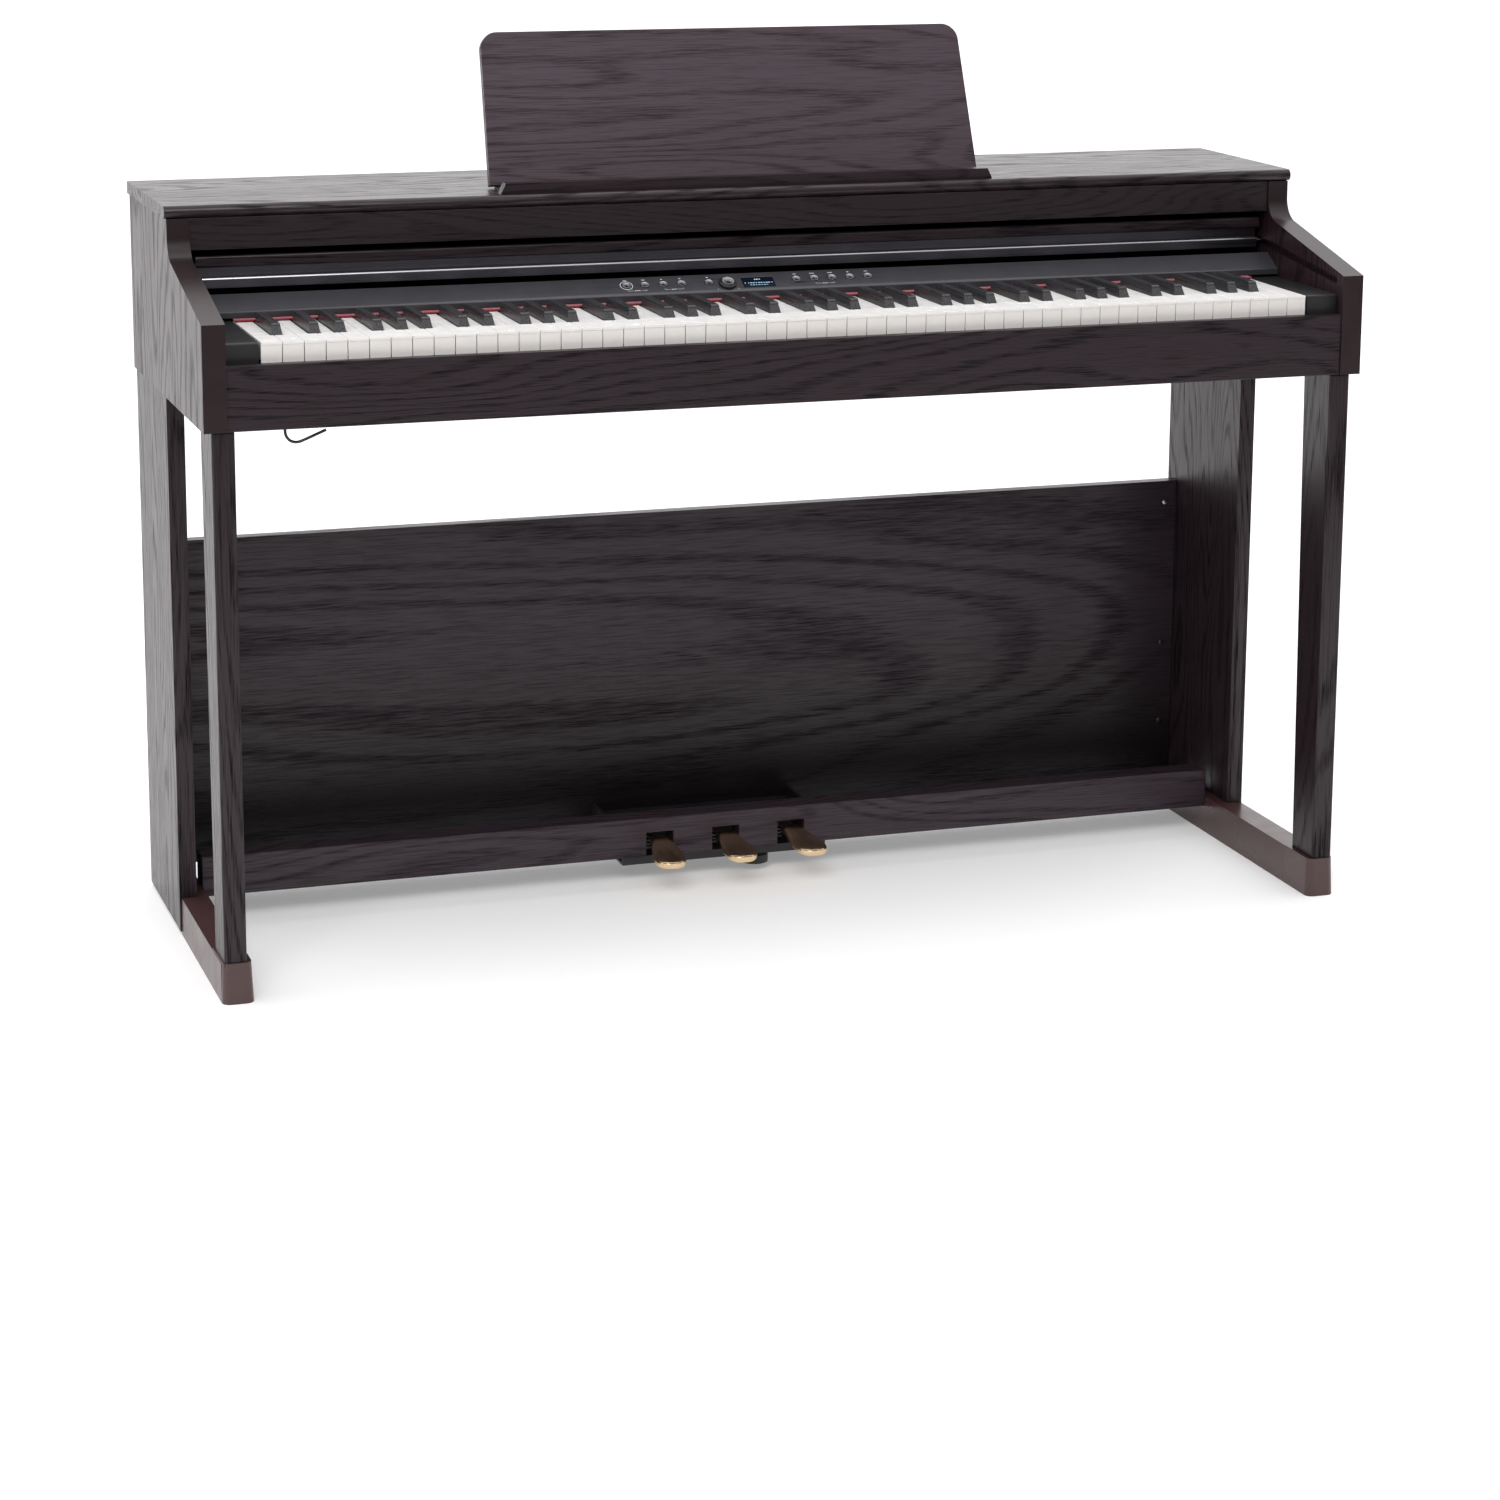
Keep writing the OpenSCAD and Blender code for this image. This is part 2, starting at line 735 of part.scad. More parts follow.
// The wooden rail along the cover's front, with rounded edges
module cover_bar() {
    nose = 3;
    color(wood) along_x(-cover_half, 2 * cover_half) union() {
        translate([bar_front + nose, bar_z]) square([bar_back - bar_front - nose, bar_h]);
        translate([bar_front, bar_z + nose]) square([nose + 1, bar_h - 2 * nose]);
        for (z = [bar_z + nose, bar_z + bar_h - nose]) translate([bar_front + nose, z])
            circle(r = nose, $fn = 48);
    }
}

// The satin grip under the rail, with the two guide pins that run in the arms' grooves
module cover_grip() {
    nose = 4;
    color(satin_black) {
        along_x(-cover_half, 2 * cover_half) union() {
            translate([grip_front, grip_z]) square([grip_back - grip_front, grip_h - nose]);
            translate([grip_front + nose, grip_z + grip_h - nose]) circle(r = nose, $fn = 48);
            translate([grip_front + nose, grip_z + 1]) square([grip_back - grip_front - nose, grip_h - 1]);
            translate([grip_back - 3, grip_z]) square([3, bar_z - grip_z]);
        }
        both_sides() bar_x(cover_half - 1, pin_y, pin_z, pin_r, x_in - cover_half + pin_reach + 1);
    }
}

// The shaft that keeps both ends of the cover level, with a roller at each end
module cover_shaft() {
    end = x_in - 2;
    color(steel) {
        bar_x(-end, shaft_y, shaft_z, shaft_r, 2 * end);
        both_sides() bar_x(end - roller_w, shaft_y, shaft_z, roller_r, roller_w);
    }
}

// The music ledge: a thin shelf with a raised lip, and lugs with hinge pins behind it
module desk_ledge() {
    color(wood_edge) {
        difference() {
            block([-rest_half, ledge_front, height], [rest_half, ledge_front + lip_d, height + lip_h]);
            both_sides() translate([rest_half, ledge_front - 1, height])
                rotate([0, -atan(ledge_taper / lip_h), 0])
                cube([ledge_taper + 10, lip_d + 2, lip_h + 10]);
        }
        block([-rest_half + ledge_taper, ledge_front + lip_d - 1, height],
              [rest_half - ledge_taper, rest_pivot_y - 13, height + ledge_t]);
    }
    color(steel) both_sides() {
        block([lug_x, rest_pivot_y - 14, height], [lug_x + lug_w, rest_pivot_y + rest_knuckle_r, height + 1]);
        block([lug_x, rest_pivot_y - rest_knuckle_r, height],
              [lug_x + lug_w, rest_pivot_y + rest_knuckle_r, rest_pivot_z]);
        bar_x(lug_x, rest_pivot_y, rest_pivot_z, rest_knuckle_r, lug_w);
        bar_x(lug_x - 8, rest_pivot_y, rest_pivot_z, rest_pin_r, lug_w + 16);
    }
}

// The folding rest panel, leaning back, with knuckles behind it on both sides of each lug
module desk_panel() {
    low = rest_half;
    high = rest_half - rest_taper;
    top = rest_len - rest_foot;
    color(wood) translate([0, rest_pivot_y, rest_pivot_z]) rotate([-rest_lean, 0, 0]) difference() {
        union() {
            translate([0, -rest_knuckle_r - rest_gap, 0]) rotate([90, 0, 0]) linear_extrude(rest_t) union() {
                polygon([[-low, -rest_foot], [low, -rest_foot], [high, top - rest_r],
                         [high - rest_r, top], [rest_r - high, top], [-high, top - rest_r]]);
                for (side = [-1, 1]) translate([side * (high - rest_r), top - rest_r])
                    circle(r = rest_r, $fn = 64);
            }
            both_sides() for (x = [lug_x - lug_gap - 8, lug_x + lug_w + lug_gap]) {
                bar_x(x, 0, 0, rest_knuckle_r, 8);
                translate([x, -rest_knuckle_r - rest_gap - 1, -4]) cube([8, rest_knuckle_r + 1, 8]);
            }
        }
        both_sides() bar_x(lug_x - 10, 0, 0, rest_pin_r + rod_gap * 0.8, lug_w + 20);
    }
}

// Side panels of the stand
module side_panel() {
    color(wood) block([x_side - side_t, side_front, side_z], [x_side, y_back, case_z]);
}
module right_side_panel() { side_panel(); }
module left_side_panel() { mirror([1, 0, 0]) side_panel(); }

// The front legs: straight in front, tapering at the back, seated in the foot rails
module front_legs() {
    color(wood_edge) both_sides() along_x(leg_x - leg_w, leg_w) polygon([
        [leg_front, rail_h - socket], [leg_front, case_z], [leg_front + leg_top_d, case_z],
        [leg_front + leg_foot_d, rail_h - socket]]);
}

// The foot rails: a draughted section along the floor, a rounded cap in front and the leg's socket
module foot_rails() {
    color([0.24, 0.17, 0.16]) both_sides() difference() {
        union() {
            translate([0, rail_back, 0]) rotate([90, 0, 0])
                linear_extrude(rail_back - rail_front - 12) polygon([
                [rail_in, 0], [rail_x, 0], [rail_x - 0.5, rail_h - 2], [rail_in + rail_draft, rail_h - 2]]);
            hull() {
                rail_cap(0, 0, 0.5);
                rail_cap(rail_h - 0.5, 3, 0.5);
            }
        }
        block([x_side - side_t, side_front - joint_gap, -1], [x_side + 1, y_back, rail_h + 1]);
        translate([0, 0, rail_h - socket]) block(
            [leg_x - leg_w, leg_front, 0], [leg_x, leg_front + leg_foot_d + 1.6, socket + 1]);
    }
}
module rail_cap(z, pull, thick) {
    r = 9;
    low_x = rail_in + pull * 0.6 + r;
    high_x = rail_x - 0.4 * pull - r;
    for (x = [low_x, high_x])
        translate([x, rail_front + pull * 0.8 + r, z]) cylinder(r = r, h = thick, $fn = 32);
    block([low_x - r, leg_front + leg_foot_d + 6, z], [high_x + r, leg_front + leg_foot_d + 8, z + thick]);
}

module rear_panel() {
    color(wood) block([-x_side + side_t, rear_front, pedal_board_z], [x_side - side_t, rear_back, rear_top]);
}

// The pedal board: a beam between the foot rails with three notches for the pedals
module pedal_board() {
    end = rail_in + rail_draft;
    low_end = rail_in + rail_draft * pedal_board_z / (rail_h - 2);
    color(wood) difference() {
        translate([0, pedal_board_back, 0]) rotate([90, 0, 0]) linear_extrude(pedal_board_d) polygon([
            [-low_end, pedal_board_z], [low_end, pedal_board_z], [end, rail_h - 2],
            [end, pedal_board_z + pedal_board_h], [-end, pedal_board_z + pedal_board_h], [-end, rail_h - 2]]);
        for (i = [-1:1])
            block([i * pedal_pitch - notch_w / 2, pedal_board_front - 1, pedal_board_z - 1],
                  [i * pedal_pitch + notch_w / 2, pedal_board_back + 1, pedal_board_z + notch_h]);
    }
}

// The steel tray that carries the pedals: ears with the rod on which they turn, and end flanges
module pedal_bracket() {
    half = pedal_pitch * 1.55;
    floor_z = plate_z + plate_t - 0.1;
    color(satin_black) difference() {
        union() {
            block([-half, plate_front, plate_z], [half, rear_front, plate_z + plate_t]);
            block([-half, plate_front, floor_z], [half, plate_front + 3, pedal_board_z]);
            block([-half, rear_front - 3, floor_z], [half, rear_front, pedal_board_z + 20]);
            for (x = [-half, half - ear_t])
                block([x, pedal_board_back + joint_gap, floor_z],
                          [x + ear_t, rear_front - 2, pedal_pivot_z + 12]);
            for (i = [-1:1], side = [-1, 1])
                block([i * pedal_pitch + side * 12 - 1.5, pedal_pivot_y - 9, floor_z],
                      [i * pedal_pitch + side * 12 + 1.5, pedal_pivot_y + 9, pedal_pivot_z + 8]);
            bar_x(-half, pedal_pivot_y, pedal_pivot_z, pedal_rod_r, 2 * half);
            translate([adjuster_x, adjuster_y, floor_z]) cylinder(r = 8, h = 4, $fn = 48);
        }
        translate([adjuster_x, adjuster_y, plate_z - 1])
            cylinder(r = stem_r + rod_gap * 0.8, h = 12, $fn = 48);
    }
}

// One pedal: a rounded paddle, a neck, a lever to its hub and the hub's bore
module pedal(x, turn) {
    tip_y = -pedal_reach;
    tip_r = 11;
    neck_y = pedal_board_front;
    color(brass) difference() {
        union() {
            translate([x, neck_y, pedal_top - pedal_t]) rotate([pedal_slope, 0, turn]) hull() {
                for (side = [-1, 1]) translate([side * (pedal_tip_w / 2 - tip_r), tip_y + tip_r, 0])
                    cylinder(r = tip_r, h = pedal_t, $fn = 32);
                translate([-pedal_neck_w / 2, 3, 0]) cube([pedal_neck_w, 4, pedal_t]);
            }
            block([x - pedal_lever_w / 2, neck_y, pedal_top - pedal_t],
                  [x + pedal_lever_w / 2, pedal_pivot_y, pedal_top]);
            bar_x(x - pedal_hub_w / 2, pedal_pivot_y, pedal_pivot_z, pedal_hub_r, pedal_hub_w);
        }
        bar_x(x - pedal_hub_w, pedal_pivot_y, pedal_pivot_z, pedal_rod_r + rod_gap * 0.8, 2 * pedal_hub_w);
    }
}
module soft_pedal() { pedal(-pedal_pitch, -pedal_splay); }
module sostenuto_pedal() { pedal(0, 0); }
module damper_pedal() { pedal(pedal_pitch, pedal_splay); }

// Coil springs under the pedals' levers, drawn as tubes short enough to leave room for the stroke
module pedal_springs() {
    spring_y = pedal_board_back + 16;
    spring_top = pedal_top - pedal_t - 5;
    color(steel) for (i = [-1:1])
        translate([i * pedal_pitch, spring_y, plate_z + plate_t]) difference() {
            cylinder(r = spring_r, h = spring_top - plate_z - plate_t, $fn = 48);
            translate([0, 0, -1]) cylinder(r = spring_r - 1.5, h = 60, $fn = 48);
        }
}

// The screw foot that keeps the pedals from sagging: a knob and its stem
module adjuster() {
    color(satin_black) translate([adjuster_x, adjuster_y, adjuster_z]) {
        cylinder(r = adjuster_r, h = adjuster_t, $fn = 64);
        translate([0, 0, adjuster_t - 0.1]) cylinder(r = stem_r, h = 11, $fn = 48);
    }
}

// Screw heads: on the rear panel, on the pedal board's ends and under the board that carries the keys
module screws() {
    head_r = 3.6;
    head_t = 1.6;
    color(steel) {
        both_sides() for (z = [rear_top - 27.5, rear_top / 2, pedal_board_z + pedal_board_h + 30])
            translate([x_side - side_t - 16, rear_front, z]) rotate([90, 0, 0])
                cylinder(r = head_r, h = head_t, $fn = 32);
        both_sides() for (z = [case_z + 40, board_z - 30])
            translate([x_in - 10, arm_back, z]) rotate([-90, 0, 0])
                cylinder(r = head_r, h = head_t, $fn = 32);
        for (x = [-600, -300, 0, 300, 600])
            translate([x, y_front + 60, case_z - head_t]) cylinder(r = head_r, h = head_t, $fn = 32);
    }
}

top_board();
left_arm();
right_arm();
fascia();
key_slip();
key_bed();
back_board();
control_panel();
display();
felt_strip();
end_blocks();
key_frame();
main_board();
speakers();
jack_plate();
headphone_hook();
cover_rails();
desk_ledge();
left_side_panel();
right_side_panel();
front_legs();
foot_rails();
rear_panel();
pedal_board();
pedal_bracket();
pedal_springs();
screws();
cover_carriage();
cover_panel();
cover_bar();
cover_grip();
cover_shaft();
desk_panel();
dial();
power_button();
button_1();
button_2();
button_3();
button_4();
button_5();
button_6();
button_7();
button_8();
button_9();
soft_pedal();
sostenuto_pedal();
damper_pedal();
adjuster();
keys_c();
keys_c_sharp();
keys_d();
keys_d_sharp();
keys_e();
keys_f();
keys_f_sharp();
keys_g();
keys_g_sharp();
keys_a();
keys_a_sharp();
keys_b();
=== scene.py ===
"""Digital piano on its stand: materials, detailed pieces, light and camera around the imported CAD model."""

import math

import bmesh
import bpy
from mathutils import Matrix, Vector


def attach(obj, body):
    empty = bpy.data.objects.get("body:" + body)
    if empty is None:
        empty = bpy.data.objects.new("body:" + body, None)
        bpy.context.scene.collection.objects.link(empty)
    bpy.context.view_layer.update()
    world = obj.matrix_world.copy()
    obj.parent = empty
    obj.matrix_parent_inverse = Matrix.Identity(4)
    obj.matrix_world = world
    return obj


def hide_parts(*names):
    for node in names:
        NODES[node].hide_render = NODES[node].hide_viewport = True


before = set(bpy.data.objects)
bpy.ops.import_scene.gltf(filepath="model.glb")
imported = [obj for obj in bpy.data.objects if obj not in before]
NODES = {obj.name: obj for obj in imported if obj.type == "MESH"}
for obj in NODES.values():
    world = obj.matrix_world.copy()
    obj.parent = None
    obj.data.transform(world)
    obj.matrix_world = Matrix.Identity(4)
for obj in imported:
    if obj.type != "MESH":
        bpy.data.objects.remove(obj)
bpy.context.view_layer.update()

# ---------------------------------------------------------------- camera

cam_data = bpy.data.cameras.new("camera")
cam = bpy.data.objects.new("camera", cam_data)
bpy.context.scene.collection.objects.link(cam)
bpy.context.scene.camera = cam
cam.location = (-1.3521, -4.0777, 1.3507)
cam.rotation_euler = (math.pi / 2 - 0.20672, -0.00546, -0.32054)
cam_data.sensor_width = 36
cam_data.lens = 89.0544
cam_data.shift_y = -0.15
cam_data.clip_end = 60

# ---------------------------------------------------------------- node helpers


class Shade:
    """A material under construction, with short ways to add its nodes."""

    def __init__(self, name, rough=0.5, metal=0.0, color=(0.5, 0.5, 0.5), ior=1.5):
        self.mat = bpy.data.materials.new(name)
        self.mat.use_nodes = True
        self.tree = self.mat.node_tree
        self.bsdf = self.tree.nodes["Principled BSDF"]
        self.set("Roughness", rough)
        self.set("Metallic", metal)
        self.set("Base Color", (*color, 1))
        self.set("IOR", ior)

    def set(self, socket, value):
        self.bsdf.inputs[socket].default_value = value

    def node(self, kind, **inputs):
        n = self.tree.nodes.new(kind)
        for key, value in inputs.items():
            setattr(n, key, value)
        return n

    def link(self, a, b):
        self.tree.links.new(a, b)

    def coord(self, kind="Object"):
        return self.node("ShaderNodeTexCoord").outputs[kind]

    def mapped(self, vector, scale, location=(0, 0, 0)):
        n = self.node("ShaderNodeMapping")
        n.inputs["Scale"].default_value = scale
        n.inputs["Location"].default_value = location
        self.link(vector, n.inputs["Vector"])
        return n.outputs["Vector"]

    def noise(self, vector, scale, detail=4.0, rough=0.55, distortion=0.0):
        n = self.node("ShaderNodeTexNoise")
        n.inputs["Scale"].default_value = scale
        n.inputs["Detail"].default_value = detail
        n.inputs["Roughness"].default_value = rough
        n.inputs["Distortion"].default_value = distortion
        self.link(vector, n.inputs["Vector"])
        return n.outputs[0]

    def math(self, op, *terms):
        n = self.node("ShaderNodeMath", operation=op)
        for i, x in enumerate(terms):
            if isinstance(x, (int, float)):
                n.inputs[i].default_value = x
            else:
                self.link(x, n.inputs[i])
        return n.outputs[0]

    def ramp(self, fac, stops):
        n = self.node("ShaderNodeValToRGB")
        e = n.color_ramp.elements
        while len(e) < len(stops):
            e.new(0.5)
        for el, (pos, col) in zip(e, stops):
            el.position = pos
            el.color = (*col, 1)
        self.link(fac, n.inputs["Fac"])
        return n.outputs["Color"]

    def span(self, fac, lo, hi, a=0.0, b=1.0):
        n = self.node("ShaderNodeMapRange")
        for key, x in (("From Min", lo), ("From Max", hi), ("To Min", a), ("To Max", b)):
            n.inputs[key].default_value = x
        self.link(fac, n.inputs["Value"])
        return n.outputs["Result"]

    def mix(self, fac, a, b):
        n = self.node("ShaderNodeMix", data_type="RGBA", blend_type="MIX")
        for sock, x in ((n.inputs["Factor"], fac), (n.inputs["A"], a), (n.inputs["B"], b)):
            if isinstance(x, (int, float)):
                sock.default_value = x
            elif isinstance(x, tuple):
                sock.default_value = (*x, 1)
            else:
                self.link(x, sock)
        return n.outputs["Result"]

    def part(self, vector, axis):
        n = self.node("ShaderNodeSeparateXYZ")
        self.link(vector, n.inputs[0])
        return n.outputs[axis]

    def base(self, color):
        self.link(color, self.bsdf.inputs["Base Color"])

    def rough(self, value):
        self.link(value, self.bsdf.inputs["Roughness"])

    def bump(self, height, strength=0.2, distance=0.001):
        n = self.node("ShaderNodeBump")
        n.inputs["Strength"].default_value = strength
        n.inputs["Distance"].default_value = distance
        self.link(height, n.inputs["Height"])
        self.link(n.outputs["Normal"], self.bsdf.inputs["Normal"])


ALONG = {"X": 0, "Y": 1, "Z": 2}
WOOD_IOR, PLAIN_SPEC, GRAIN_SPEC = 1.36, 0.62, 0.12
LINE_JITTER, DASH_SHARE = 3.5, 0.65
LINE_SHARE, PORE_SHARE, BROAD_SHARE = 0.60, 0.34, 0.12


def wood_grain(s, along, seed, lines, wave=9.0):
    """0 to 1, dark where the grain is: cathedral lines broken into dashes, and pores along one axis."""
    obj = s.coord()

    def stretched(length, width):
        scale = [width] * 3
        scale[ALONG[along]] = length
        return s.mapped(obj, tuple(scale), location=(seed, seed * 2, seed * 3))

    field = s.noise(stretched(wave / 7, wave), 0.8, 1.5, 0.45, 0.3)
    jitter = s.noise(stretched(20, 260), 1.0, 3.0, 0.6)
    phase = s.math("ADD", s.math("MULTIPLY", field, lines), s.math("MULTIPLY", jitter, LINE_JITTER))
    contour = s.span(s.math("SINE", phase), 0.1, 0.95)
    dashes = s.span(s.noise(stretched(26, 520), 1.0, 4.0, 0.6), 0.46, 0.58)
    broad = s.span(s.noise(stretched(4, 110), 1.0, 3.0, 0.55), 0.35, 0.7)
    pores = s.span(s.noise(stretched(20, 900), 1.0, 2.0, 0.5), 0.50, 0.62)
    broken = s.math("ADD", s.math("MULTIPLY", dashes, DASH_SHARE), 1 - DASH_SHARE)
    lined = s.math("MULTIPLY", contour, broken)
    total = s.math("ADD", s.math("MULTIPLY", lined, LINE_SHARE), s.math("MULTIPLY", pores, PORE_SHARE))
    return s.math("ADD", total, s.math("MULTIPLY", broad, BROAD_SHARE)), obj


def wood_mat(name, along="X", dark=(0.0050, 0.0031, 0.0040), light=(0.0240, 0.0142, 0.0185), rough=0.34,
             lines=190.0, seed=0.0, shade_fade=None, wave=9.0):
    """Dark rosewood foil whose grain runs along one axis. Its lines hold less gloss than the wood between. It
    can carry painted shade that darkens it towards its foot.
    """
    s = Shade(name, rough, ior=WOOD_IOR)
    grain, obj = wood_grain(s, along, seed, lines, wave)
    middle = tuple(a * 0.55 + b * 0.45 for a, b in zip(dark, light))
    color = s.ramp(grain, [(0.0, light), (0.4, middle), (0.9, dark)])
    # painted shade: if given, the colour darkens towards a near-black below a height
    if shade_fade:
        lo, hi, shade_color = shade_fade
        color = s.mix(s.span(s.part(obj, 2), lo, hi, 1.0, 0.0), color, shade_color)
    s.base(color)
    s.rough(s.span(grain, 0.0, 0.9, rough - 0.04, rough + 0.16))
    s.link(s.span(grain, 0.1, 0.9, PLAIN_SPEC, GRAIN_SPEC), s.bsdf.inputs["Specular IOR Level"])
    s.bump(s.math("MULTIPLY", grain, -1.0), 0.30, 0.0005)
    return s.mat


def plastic_mat(name, color, rough, grain, strength, vary=0.12):
    """Moulded plastic: a fine texture, a slight change of tone and of gloss."""
    s = Shade(name, rough, color=color)
    obj = s.coord()
    tone = s.noise(obj, 5.0, 4.0, 0.6)
    dark = tuple(c * (1 - vary) for c in color)
    light = tuple(min(1, c * (1 + vary)) for c in color)
    s.base(s.ramp(tone, [(0.3, dark), (0.7, light)]))
    fine = s.noise(obj, grain, 3.0, 0.6)
    s.rough(s.span(s.noise(obj, 40.0, 3.0), 0.3, 0.7, rough - 0.04, rough + 0.04))
    s.bump(fine, strength, 0.0003)
    return s.mat


def metal_mat(name, color, rough, along, strength=0.06, vary=0.08):
    """Metal with a drawn or ground finish along one direction."""
    s = Shade(name, rough, 1.0, color)
    obj = s.coord()
    brushed = s.noise(s.mapped(obj, along), 2.0, 5.0, 0.6)
    dark = tuple(c * (1 - vary) for c in color)
    light = tuple(min(1, c * (1 + vary)) for c in color)
    s.base(s.ramp(brushed, [(0.3, dark), (0.7, light)]))
    s.rough(s.span(brushed, 0.3, 0.7, rough - 0.05, rough + 0.06))
    s.bump(brushed, strength, 0.0002)
    return s.mat


def spun_mat(name, color):
    """Metal turned on a lathe: fine rings round the piece's own Z axis, and their stretched gloss."""
    s = Shade(name, 0.27, 1.0, color)
    obj = s.coord()
    flat = s.mapped(obj, (1, 1, 0))
    n = s.node("ShaderNodeVectorMath", operation="LENGTH")
    s.link(flat, n.inputs[0])
    rings = s.math("SINE", s.math("MULTIPLY", n.outputs["Value"], 30000.0))
    s.base(s.ramp(s.noise(obj, 900.0, 3.0), [(0.3, tuple(c * 0.92 for c in color)), (0.7, color)]))
    s.set("Anisotropic", 0.85)
    tangent = s.node("ShaderNodeTangent", direction_type="RADIAL", axis="Z")
    s.link(tangent.outputs[0], s.bsdf.inputs["Tangent"])
    s.bump(rings, 0.12, 0.00005)
    return s.mat


def key_white_mat():
    """Satin key plastic: faint mottling, and painted shade that makes the upright fronts darker and warmer.
    """
    s = Shade("key_white", 0.24, ior=1.48)
    obj = s.coord()
    tone = s.noise(obj, 60.0, 4.0, 0.6)
    top = s.ramp(tone, [(0.3, (0.90, 0.89, 0.875)), (0.7, (0.93, 0.925, 0.91))])
    # painted shade: faces that point forward get a darker, warmer colour than the tops
    front = s.span(s.part(s.coord("Normal"), 1), -0.4, -0.9)
    s.base(s.mix(s.math("MULTIPLY", front, 0.75), top, (0.80, 0.765, 0.73)))
    s.set("Subsurface Weight", 0.08)
    s.set("Subsurface Radius", (0.004, 0.003, 0.002))
    s.rough(s.span(tone, 0.3, 0.7, 0.20, 0.28))
    s.bump(s.noise(obj, 900.0, 3.0), 0.04, 0.0002)
    return s.mat


def key_black_mat():
    """Ebony-like key plastic: fine lengthwise grain and a satin finish."""
    s = Shade("key_black", 0.36)
    obj = s.coord()
    grain = s.noise(s.mapped(obj, (420, 12, 420)), 1.0, 4.0, 0.6)
    s.base(s.ramp(grain, [(0.3, (0.018, 0.018, 0.020)), (0.7, (0.042, 0.041, 0.044))]))
    s.rough(s.span(grain, 0.3, 0.7, 0.24, 0.34))
    s.bump(grain, 0.22, 0.0003)
    return s.mat


def felt_mat():
    """Dark red felt."""
    s = Shade("red_felt", 0.95)
    obj = s.coord()
    fibres = s.noise(obj, 1400.0, 5.0, 0.75)
    s.base(s.ramp(fibres, [(0.25, (0.17, 0.003, 0.013)), (0.75, (0.32, 0.008, 0.030))]))
    s.set("Sheen Weight", 0.4)
    s.set("Sheen Roughness", 0.5)
    s.bump(fibres, 0.6, 0.0008)
    return s.mat


def arm_mat():
    """Grained faces, and a smooth satin band over the arm's narrow edges."""
    s = Shade("arm_wood", 0.34, ior=WOOD_IOR)
    side = s.span(s.math("ABSOLUTE", s.part(s.coord("Normal"), 0)), 0.80, 0.95)
    grain, obj = wood_grain(s, "Z", 2.3, 190.0)
    light, middle = (0.0285, 0.0150, 0.0200), (0.0155, 0.0084, 0.0108)
    dark = (0.0050, 0.0028, 0.0035)
    wood = s.ramp(grain, [(0.0, light), (0.4, middle), (0.9, dark)])
    satin = s.ramp(s.noise(obj, 30.0, 3.0), [(0.3, (0.015, 0.008, 0.009)), (0.7, (0.021, 0.012, 0.013))])
    s.base(s.mix(side, satin, wood))
    s.rough(s.math("ADD", s.math("MULTIPLY", side, s.span(grain, 0.0, 0.9, 0.0, 0.2)), 0.29))
    shown = s.math("MULTIPLY", grain, side)
    s.link(s.span(shown, 0.1, 0.9, PLAIN_SPEC, GRAIN_SPEC), s.bsdf.inputs["Specular IOR Level"])
    s.bump(s.math("MULTIPLY", shown, -1.0), 0.30, 0.0005)
    return s.mat


def board_mat():
    """Green solder mask with a faint web of copper tracks."""
    s = Shade("circuit_green", 0.35)
    obj = s.coord()
    v = s.node("ShaderNodeTexVoronoi", feature="DISTANCE_TO_EDGE")
    v.inputs["Scale"].default_value = 90.0
    s.link(obj, v.inputs["Vector"])
    tracks = s.span(v.outputs["Distance"], 0.02, 0.06)
    s.base(s.mix(tracks, (0.05, 0.22, 0.10), (0.012, 0.09, 0.04)))
    s.bump(tracks, 0.2, 0.0002)
    return s.mat


def grip_mat():
    """Dark satin metal, drawn lengthwise, with a painted highlight along its rounded upper edge."""
    s = Shade("grip_satin", 0.30, 1.0, (0.12, 0.115, 0.135))
    obj = s.coord()
    brushed = s.noise(s.mapped(obj, (2.0, 300.0, 300.0)), 2.0, 5.0, 0.6)
    normal = s.coord("Normal")
    # painted highlight: faces that point up and forward get a bright metal colour
    highlight_mask = s.math("MULTIPLY", s.span(s.part(normal, 2), 0.25, 0.5), s.span(s.part(normal, 1), -0.25, -0.5))
    plain = s.ramp(brushed, [(0.3, (0.110, 0.105, 0.124)), (0.7, (0.130, 0.125, 0.146))])
    s.base(s.mix(highlight_mask, plain, (0.62, 0.61, 0.64)))
    s.rough(s.span(brushed, 0.3, 0.7, 0.25, 0.34))
    s.bump(brushed, 0.05, 0.0002)
    return s.mat


def cloth_mat():
    """Black speaker cloth: a fine plain weave."""
    s = Shade("speaker_cloth", 0.9, color=(0.02, 0.02, 0.02))
    obj = s.coord()
    u = s.math("SINE", s.math("MULTIPLY", s.part(obj, 0), 5200.0))
    v = s.math("SINE", s.math("MULTIPLY", s.part(obj, 1), 5200.0))
    weave = s.math("MULTIPLY", u, v)
    s.base(s.ramp(s.span(weave, -1.0, 1.0), [(0.2, (0.008, 0.008, 0.008)), (0.8, (0.035, 0.035, 0.036))]))
    s.bump(weave, 0.5, 0.0003)
    return s.mat


